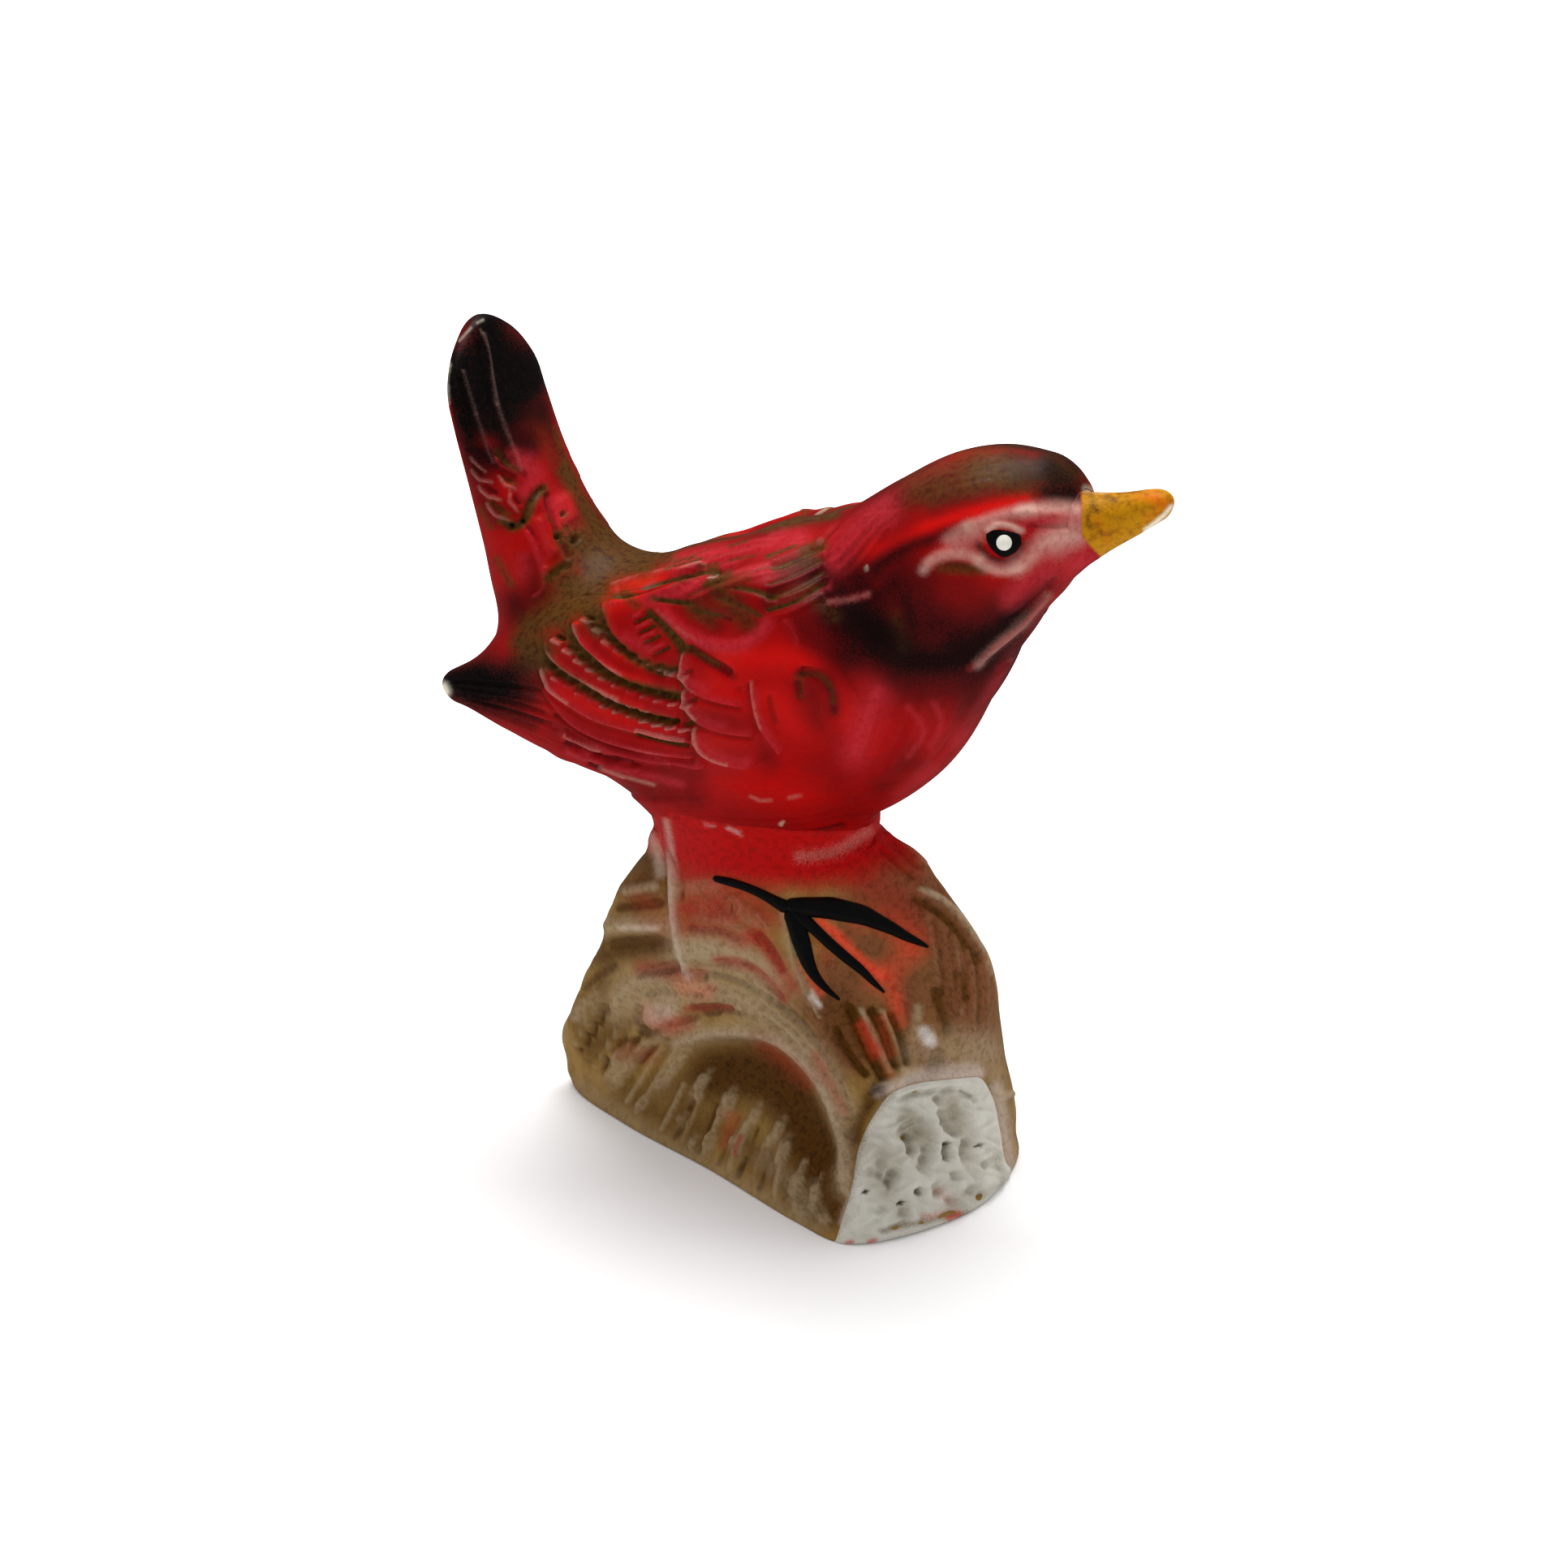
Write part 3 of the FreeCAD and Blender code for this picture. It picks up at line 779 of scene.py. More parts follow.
def teeth(numbers, length, pitch, lean):
    """Short strokes along a line, as the ends of barbs: one every pitch pixels, a length
    long, leaning from the line by a turn in degrees."""
    line = drawn(numbers, pitch)
    run = np.gradient(line, axis=0)
    turn = math.radians(lean)
    way = np.stack((run[:, 0] * math.cos(turn) - run[:, 1] * math.sin(turn),
                    run[:, 0] * math.sin(turn) + run[:, 1] * math.cos(turn)), -1)
    tips = line + unit(way) * length
    return [tuple(np.concatenate((a, b))) for a, b in zip(line, tips)]


# %% Sprayed strokes


def spray(pixels, shots):
    """Cover of sprayed strokes from 0 to 1: one less the product of one less strength
    exp(-(distance / width)^2) over all of them."""
    flat = pixels.reshape(-1, 2)
    bare = np.ones(len(flat))
    for strength, width, numbers in shots:
        line = drawn(numbers)
        near = close_to(flat, line, width * 2.6)
        if len(near):
            side, along, length = measure(flat[near], line)
            bare[near] *= 1 - strength * np.exp(-(side / width) ** 2)
    return (1 - bare).reshape(pixels.shape[:-1])


def inside(pixels, numbers, soft):
    """Share of each pixel inside a closed outline, with an edge as wide as soft: a pixel
    is inside when a line from it crosses the outline an odd number of times."""
    flat = pixels.reshape(-1, 2)
    outline = np.array(numbers, float).reshape(-1, 2)
    line = np.vstack((outline, outline[:1]))
    share = np.zeros(len(flat))
    near = close_to(flat, line, soft * 1.5)
    if len(near):
        spot = flat[near]
        start, end = line[:-1], line[1:]
        above = (start[:, 1] > spot[:, 1:]) != (end[:, 1] > spot[:, 1:])
        rise = np.where(end[:, 1] == start[:, 1], 1e-9, end[:, 1] - start[:, 1])
        cross = start[:, 0] + (spot[:, 1:] - start[:, 1]) * (end[:, 0] - start[:, 0]) / rise
        odd = (above & (spot[:, :1] < cross)).sum(1) % 2
        gap = np.abs(measure(spot, line)[0])
        share[near] = step(-soft, soft, np.where(odd, gap, -gap))
    return share.reshape(pixels.shape[:-1])


def facing(points, outward):
    """How squarely the skin faces the camera: 1 straight at it, below 0 away from it."""
    return (unit(camera_place - points) * outward).sum(-1)

# %% [markdown]
# ## The forms as grids
# Each limb becomes a grid of points about a quarter of a millimetre apart, settled on the
# common skin. That is fine enough to carve every feather in the mesh itself.

# %% Grids of the limbs
quick_share = 1.0


def count(number):
    """Rows or columns of a grid, fewer in a quick trial."""
    return int(number * quick_share) // 2 * 2


def even_angles(columns, dense=None):
    """Angles once round. dense is an angle about which they crowd, with a strength."""
    angles = np.linspace(0, 2 * np.pi, columns, endpoint=False)
    if dense:
        middle, strength = dense
        angles = angles + strength * np.sin(angles - middle + np.pi)
    return angles


def settled(limb, name, rows, columns):
    """A limb's grid on the common skin."""
    grid = limb.grid(limb.even(rows), even_angles(columns))
    flat = settle(grid.reshape(-1, 3), normals_of(grid).reshape(-1, 3), name)
    return flat.reshape(grid.shape)


body_stations = count(320)
body_grid = settled(body, "body", body_stations, count(340))
tail_grid = settled(tail, "tail", count(280), count(240))
wing_grid = settled(wing, "wing", count(300), count(300))
leg_grid = settled(leg, "leg", count(90), count(260))
beak_grid = settled(beak, "beak", count(110), count(100))
for name, grid in (("body", body_grid), ("tail", tail_grid), ("wing", wing_grid)):
    cell = np.linalg.norm(np.diff(grid, axis=0), axis=-1).mean()
    print(name, "cells of", round(float(cell), 2), "mm")

# %% Stump grid
vent_place = np.array((-0.16, 0.11)) * (base_length, base_width)
vent_radius = 3.0
vent_depth = 3.0
vent_edge = 0.4
round_edge = 0.7
lid_rows = 5
turns = -even_angles(count(460), (np.pi / 2, 0.3))


def ring(centre, radius, height):
    """One row of points round a centre at a height."""
    out = np.stack((np.cos(turns), np.sin(turns)), -1) * np.asarray(radius).reshape(-1, 1)
    return np.column_stack((centre + out, np.full(len(turns), height)))


def drawn_in(height):
    """How far the rounded lower edge draws the stump's skin in at a height."""
    below = np.maximum(round_edge - height, 0)
    return round_edge - np.sqrt(np.maximum(round_edge**2 - below**2, 0))


heights = np.concatenate((round_edge * (1 - np.cos(np.linspace(0, np.pi / 2, 6)[1:])),
                          np.linspace(round_edge, stump_height, count(190))[1:]))
rows = [ring(vent_place, 0.0, vent_depth), ring(vent_place, vent_radius, vent_depth),
        ring(vent_place, vent_radius, vent_edge), ring(vent_place, vent_radius + vent_edge, 0.0)]
foot = ring(stump_axis, stump.radius(wrap(turns), 0.0) - round_edge, 0.0)
for share in np.linspace(0, 1, 12)[1:]:
    rows.append(rows[3] * (1 - share) + foot * share)
for height in heights:
    rows.append(ring(stump_axis, stump.radius(wrap(turns), height) - drawn_in(height), height))
top = stump.radius(wrap(turns), stump_height)
for share in (0.75, 0.5, 0.25, 0.0):
    rows.append(ring(stump_axis, top * share, stump_height))
stump_grid = np.array(rows)
blended = np.flatnonzero(stump_grid[:-lid_rows, 0, 2] > 0.5 * stump_height)
outward = normals_of(stump_grid)[blended]
moved = settle(stump_grid[blended].reshape(-1, 3), outward.reshape(-1, 3), "stump")
stump_grid[blended] = moved.reshape(outward.shape)
print("stump rows", len(rows), "of which blended", len(blended))

# %% [markdown]
# ## Carving the bird
# The modeller cut the feathers into the clay and left a raised lip along each edge. The
# strokes follow those cuts: height in millimetres, below 0 for a cut, width in pixels and
# the line. A lip's line runs so that its feather lies on its left.

# %% Tail cuts
tail_cuts = [
    (0.26, 3.0, (596, 408, 600, 431, 607, 470, 612, 493, 618, 511, 630, 544, 637, 562, 648, 586)),
    (-0.22, 5.0, (591, 416, 594, 440, 600, 474, 606, 498, 611, 516, 622, 548, 630, 567, 640, 590)),
    (0.24, 3.0, (571, 455, 580, 482, 587, 508, 597, 537, 608, 562, 612, 572)),
    (-0.22, 5.0, (566, 462, 574, 488, 580, 512, 590, 542, 601, 567)),
    (0.18, 3.0, (557, 474, 560, 492, 564, 512)),
    (-0.24, 4.0, (553, 470, 557, 495, 561, 520, 567, 548, 571, 572)),
    (0.30, 3.4, (608, 562, 617, 575, 630, 582, 639, 587)), (-0.26, 4.0, (612, 556, 621, 568, 633, 575)),
    (0.30, 3.4, (615, 587, 622, 598, 634, 602)), (-0.24, 4.0, (617, 581, 626, 591, 636, 594)),
    (0.32, 3.4, (628, 605, 626, 611, 632, 621, 639, 631)), (-0.24, 4.0, (633, 608, 637, 617, 644, 624)),
    (0.26, 3.4, (580, 564, 587, 572, 598, 581)), (-0.24, 4.0, (580, 571, 588, 580, 598, 588)),
    (0.26, 3.4, (581, 579, 590, 589, 606, 594)), (0.30, 3.4, (590, 600, 597, 608, 609, 613, 618, 617)),
    (-0.26, 4.0, (594, 596, 604, 604, 616, 609)), (0.32, 3.4, (600, 621, 607, 631, 616, 637, 628, 641)),
    (-0.28, 4.0, (603, 616, 612, 625, 624, 631)),
    (-0.42, 4.6, (617, 640, 630, 649, 645, 642, 654, 620, 662, 606, 675, 600)),
    (-0.60, 4.0, (628, 647, 632, 650)), (-0.60, 4.0, (644, 640, 647, 644)),
    (0.34, 9.0, (662, 633, 668, 655, 678, 680, 688, 690)),
    (-0.42, 3.6, (651, 646, 658, 662, 667, 684, 672, 700)),
    (0.34, 3.4, (648, 652, 660, 672, 668, 692, 674, 710, 670, 725, 655, 737)),
    (0.30, 16.0, (640, 665, 648, 700, 645, 725)),
    (-0.40, 3.6, (674, 605, 676, 625, 681, 640, 688, 665, 703, 690)),
    (0.34, 10.0, (690, 605, 700, 625, 706, 650)), (-0.50, 3.6, (692, 632, 695, 636)),
    (-0.55, 4.0, (687, 657, 689, 664)), (-0.60, 5.0, (706, 662, 712, 669)),
    (-0.34, 4.4, (676, 712, 688, 702, 703, 694)),
]

# %% Wing cuts
wing_lips = [
    (0.42, 4.4, (744, 741, 748, 765, 758, 782, 775, 800, 796, 815, 820, 827, 842, 833)),
    (0.42, 4.4, (707, 765, 712, 786, 733, 807, 754, 826, 775, 838, 802, 847, 838, 852)),
    (0.42, 4.4, (672, 788, 678, 807, 699, 826, 723, 841, 744, 855, 768, 867, 796, 877, 838, 884)),
    (0.38, 4.4, (666, 822, 675, 845, 699, 865, 727, 883, 761, 895, 796, 903, 850, 911)),
    (0.34, 4.4, (667, 845, 682, 866, 709, 893, 734, 907, 761, 917, 796, 927, 832, 937, 868, 944)),
    (0.46, 4.6, (845, 800, 841, 818, 842, 836, 850, 848, 866, 857, 888, 864, 918, 869)),
    (0.44, 4.6, (842, 848, 845, 869, 857, 886, 878, 897, 902, 903, 932, 905)),
    (0.42, 4.6, (855, 897, 859, 920, 875, 934, 896, 941, 933, 946, 968, 948)),
    (0.38, 4.6, (926, 838, 930, 872, 937, 896, 954, 920, 968, 941)),
]
wing_cuts = [
    (-0.34, 5.5, (740, 756, 748, 779, 768, 800, 792, 819, 823, 831)),
    (-0.40, 6.0, (702, 780, 713, 799, 740, 824, 768, 842, 796, 852, 836, 860)),
    (-0.36, 5.0, (668, 810, 682, 827, 706, 845, 734, 859, 761, 871, 796, 881, 838, 890)),
    (-0.44, 4.0, (783, 902, 812, 911, 851, 920)), (-0.42, 4.4, (826, 941, 850, 947, 886, 956)),
    (0.38, 3.6, (782, 897, 815, 905, 858, 915)),
    (0.40, 3.6, (696, 906, 713, 913, 740, 924, 775, 931, 816, 938, 872, 944)),
    (-0.44, 4.0, (692, 914, 712, 921, 740, 931, 775, 939, 816, 946)),
    (0.42, 3.6, (699, 920, 727, 934, 761, 943, 796, 950, 836, 957)),
    (-0.42, 3.6, (722, 941, 752, 951, 790, 959, 830, 966)),
    (0.40, 3.4, (737, 948, 768, 957, 806, 967, 862, 981)),
    (-0.44, 5.4, (792, 752, 809, 762, 823, 776, 838, 795, 842, 806)),
    (-0.34, 3.4, (806, 737, 828, 741, 851, 743)), (-0.40, 6.0, (846, 792, 867, 810, 891, 824, 904, 834)),
    (-0.20, 6.0, (908, 842, 914, 858)),
    (-0.46, 5.5, (981, 827, 1000, 828, 1013, 834, 1022, 852, 1028, 877)),
    (-0.26, 7.0, (981, 832, 984, 850, 987, 868)), (-0.20, 7.0, (946, 850, 950, 880, 962, 905)),
    (0.26, 4.0, (908, 974, 922, 984, 942, 987, 962, 985)), (0.38, 6.0, (974, 983, 986, 980)),
    (0.24, 5.0, (962, 762, 978, 778, 984, 800)), (-0.12, 2.2, (560, 861, 600, 880, 650, 902, 700, 925)),
    (-0.12, 2.2, (580, 862, 630, 880, 668, 893)), (-0.12, 2.2, (600, 868, 640, 880, 690, 900)),
    (-0.12, 2.2, (610, 862, 640, 868, 672, 880)),
]
scallop_lines = (
    (0.50, (715, 763, 727, 772, 739, 787, 754, 799, 772, 811, 793, 821, 814, 829, 836, 834)),
    (0.55, (679, 787, 692, 799, 704, 810, 719, 821, 736, 833, 757, 845, 775, 852, 796, 860,
            820, 867, 840, 870)),
    (0.60, (669, 818, 679, 832, 691, 840, 706, 851, 727, 861, 745, 872, 766, 879, 790, 888,
            811, 894, 836, 899)),
    (0.30, (725, 933, 761, 944, 796, 951)),
)
for rise, line in scallop_lines:
    for stroke in teeth(line, 19, 15.5, -18):
        wing_cuts.append((rise, 3.3, stroke))
        wing_cuts.append((-0.9 * rise, 3.0, tuple(np.array(stroke) + (5, -4, 1, -5))))
short_barbs = ((778, 762, 798, 752), (782, 775, 806, 764), (788, 787, 812, 776),
               (800, 802, 824, 790))
for stroke in short_barbs:
    wing_cuts.append((0.34, 4.0, stroke))
    wing_cuts.append((-0.30, 2.6, tuple(np.array(stroke) + (3, 6, 3, 6))))

# %% Body and head cuts
body_cuts = [
    (0.22, 4.0, (708, 743, 710, 733, 732, 730)), (0.22, 5.0, (690, 738, 692, 715)),
    (0.30, 8.0, (1320, 638, 1290, 636, 1262, 632, 1235, 636, 1213, 643, 1190, 650, 1165, 659)),
    (-0.26, 5.0, (1325, 648, 1290, 647, 1262, 644)),
    (0.36, 7.5, (1322, 657, 1295, 658, 1277, 665, 1268, 681, 1255, 696, 1234, 702, 1214, 698, 1202, 690,
                 1185, 683, 1164, 683, 1148, 691, 1139, 703)),
    (-0.30, 5.0, (1203, 664, 1210, 680, 1224, 690, 1242, 692, 1258, 681, 1266, 664)),
    (0.34, 4.0, (1213, 655, 1224, 648, 1242, 648, 1259, 655)),
    (-0.24, 5.5, (1164, 694, 1185, 695, 1208, 704)),
    (0.36, 7.5, (1294, 735, 1274, 758, 1251, 776, 1228, 794, 1206, 813, 1184, 828)),
    (-0.30, 4.4, (1303, 710, 1286, 732, 1266, 750, 1240, 770)),
    (-0.24, 4.0, (1300, 745, 1282, 768, 1262, 786, 1240, 806, 1222, 826)),
    (0.20, 4.0, (1300, 760, 1280, 782, 1262, 803, 1244, 828)),
    (-0.20, 4.0, (1262, 803, 1246, 824, 1232, 850)),
    (-0.22, 4.6, (1343, 689, 1336, 674, 1334, 655, 1336, 630, 1333, 606)),
    (0.26, 5.0, (1083, 872, 1092, 862)), (0.20, 5.0, (1068, 901, 1060, 920, 1056, 938)),
    (-0.22, 8.0, (830, 1018, 880, 1026, 940, 1030, 1000, 1026, 1050, 1016)),
]


def strands(number, rise, width, first, last):
    """Fine cuts between two lines, high and low in turn: each one is a mix of both lines,
    its height varied by a sine."""
    cuts = []
    for row in range(number):
        share = (row + 0.25 * math.sin(2.6 * row)) / (number - 1)
        line = np.array(first, float) * (1 - share) + np.array(last, float) * share
        height = rise * (0.75 + 0.25 * math.sin(2.1 * row)) * (-1) ** row
        cuts.append((height, width, tuple(line)))
    return cuts


mantle_cuts = [
    (0.40, 5.5, (746, 725, 775, 716, 806, 708, 840, 701, 872, 697)),
    (-0.40, 4.4, (757, 733, 778, 731, 806, 722, 850, 709, 890, 702)), (-0.44, 5.0, (758, 732, 776, 731)),
    (0.28, 5.0, (748, 745, 772, 741, 800, 735, 836, 722, 880, 712)),
    (0.40, 9.0, (803, 745, 830, 768, 851, 783, 880, 796, 905, 799, 935, 786)),
    (-0.24, 4.0, (850, 752, 880, 757, 905, 765)), (-0.22, 4.0, (880, 735, 915, 748, 940, 762)),
    (-0.24, 4.0, (895, 722, 930, 728, 962, 742)),
]
mantle_cuts += (
    strands(11, 0.22, 2.8, (1004, 668, 1024, 648, 1052, 622), (1044, 712, 1070, 680, 1096, 646))
    + strands(11, 0.20, 2.8, (826, 684, 880, 668, 945, 654), (846, 742, 905, 718, 960, 700))
    + strands(9, 0.30, 3.2, (948, 694, 980, 680, 1014, 666), (940, 762, 985, 748, 1022, 724))
)
body_cuts += mantle_cuts
body_cuts += strands(7, 0.22, 3.0, (1300, 722, 1262, 764, 1206, 810),
                     (1322, 742, 1288, 790, 1240, 850))
body_cuts += strands(8, 0.11, 3.4, (1070, 850, 1060, 890, 1046, 935),
                     (1200, 850, 1180, 900, 1130, 960))
body_cuts += strands(8, 0.13, 3.0, (800, 985, 880, 1004, 980, 1006, 1050, 990),
                     (850, 1022, 900, 1036, 980, 1038, 1040, 1026))
body_cuts += strands(7, 0.05, 3.4, (1090, 640, 1150, 612, 1220, 592),
                     (1110, 600, 1170, 574, 1240, 560))
wing_cuts += mantle_cuts
wing_cuts += strands(11, 0.18, 2.4, (556, 836, 610, 838, 664, 842), (575, 872, 630, 890, 690, 916))
wing_cuts += strands(11, 0.30, 3.0, (672, 868, 720, 900, 790, 922, 856, 932),
                     (740, 956, 790, 976, 830, 986, 880, 992))
print("cuts:", len(tail_cuts), "on the tail,", len(wing_lips) + len(wing_cuts), "on a wing,",
      len(body_cuts), "on the body")

# %% Carve the bird
# How squarely the skin has to face the camera for broad work, and for fine work, and how
# far it has to turn away for fine work of the mirrored place: from nothing to all of it.
BROAD_SIGHT = (0.02, 0.22)
FINE_SIGHT = (0.10, 0.38)
TURNED_AWAY = (0.02, 0.35)


def charts_of(points, outward):
    """The two charts that draw the bird. The view's own pixels serve what the camera sees;
    past the middle plane they fade into the pixels of the mirrored place, whose fine work
    keeps off the outline that the camera sees. Each chart is the points it serves, their
    pixels, its weight there and the share that is in sight."""
    flat = points.reshape(-1, 3)
    ways = outward.reshape(-1, 3)
    square = facing(flat, ways)
    own = np.where(flat[:, 1] > 0, step(*BROAD_SIGHT, square), 1.0)
    away = step(*TURNED_AWAY, -square)
    charts = []
    for flip, weight, clear in ((1.0, own, np.ones(len(flat))), (MIRROR, 1 - own, away)):
        index = np.flatnonzero(weight > 0)
        spots = flat[index] * flip
        share = step(*FINE_SIGHT, facing(spots, ways[index] * flip)) * clear[index]
        charts.append((index, seen(spots), weight[index], share))
    return charts


def over(charts, shape, draw, fine=True):
    """What draw makes of the pixels, both charts together. Fine work stays in sight."""
    total = np.zeros(shape)
    flat = total.reshape(-1)
    for index, pixels, weight, share in charts:
        flat[index] += weight * draw(pixels) * (share if fine else 1.0)
    return total


def carved(grid, ridges, lips=()):
    """A grid with its cuts pressed in, and the height of the cuts at each point."""
    outward = normals_of(grid)
    charts = charts_of(grid, outward)
    height = over(charts, grid.shape[:2], lambda pixels: carve(pixels, ridges, lips))
    height[[0, -1]] = 0
    return grid + outward * height[..., None], height


body_smooth, tail_smooth, wing_smooth = body_grid, tail_grid, wing_grid
body_grid, body_height = carved(body_grid, body_cuts)
tail_grid, tail_height_map = carved(tail_grid, tail_cuts)
wing_grid, wing_height = carved(wing_grid, wing_cuts, wing_lips)
print("deepest cut", round(float(wing_height.min()), 2), "mm,",
      "highest lip", round(float(wing_height.max()), 2), "mm")
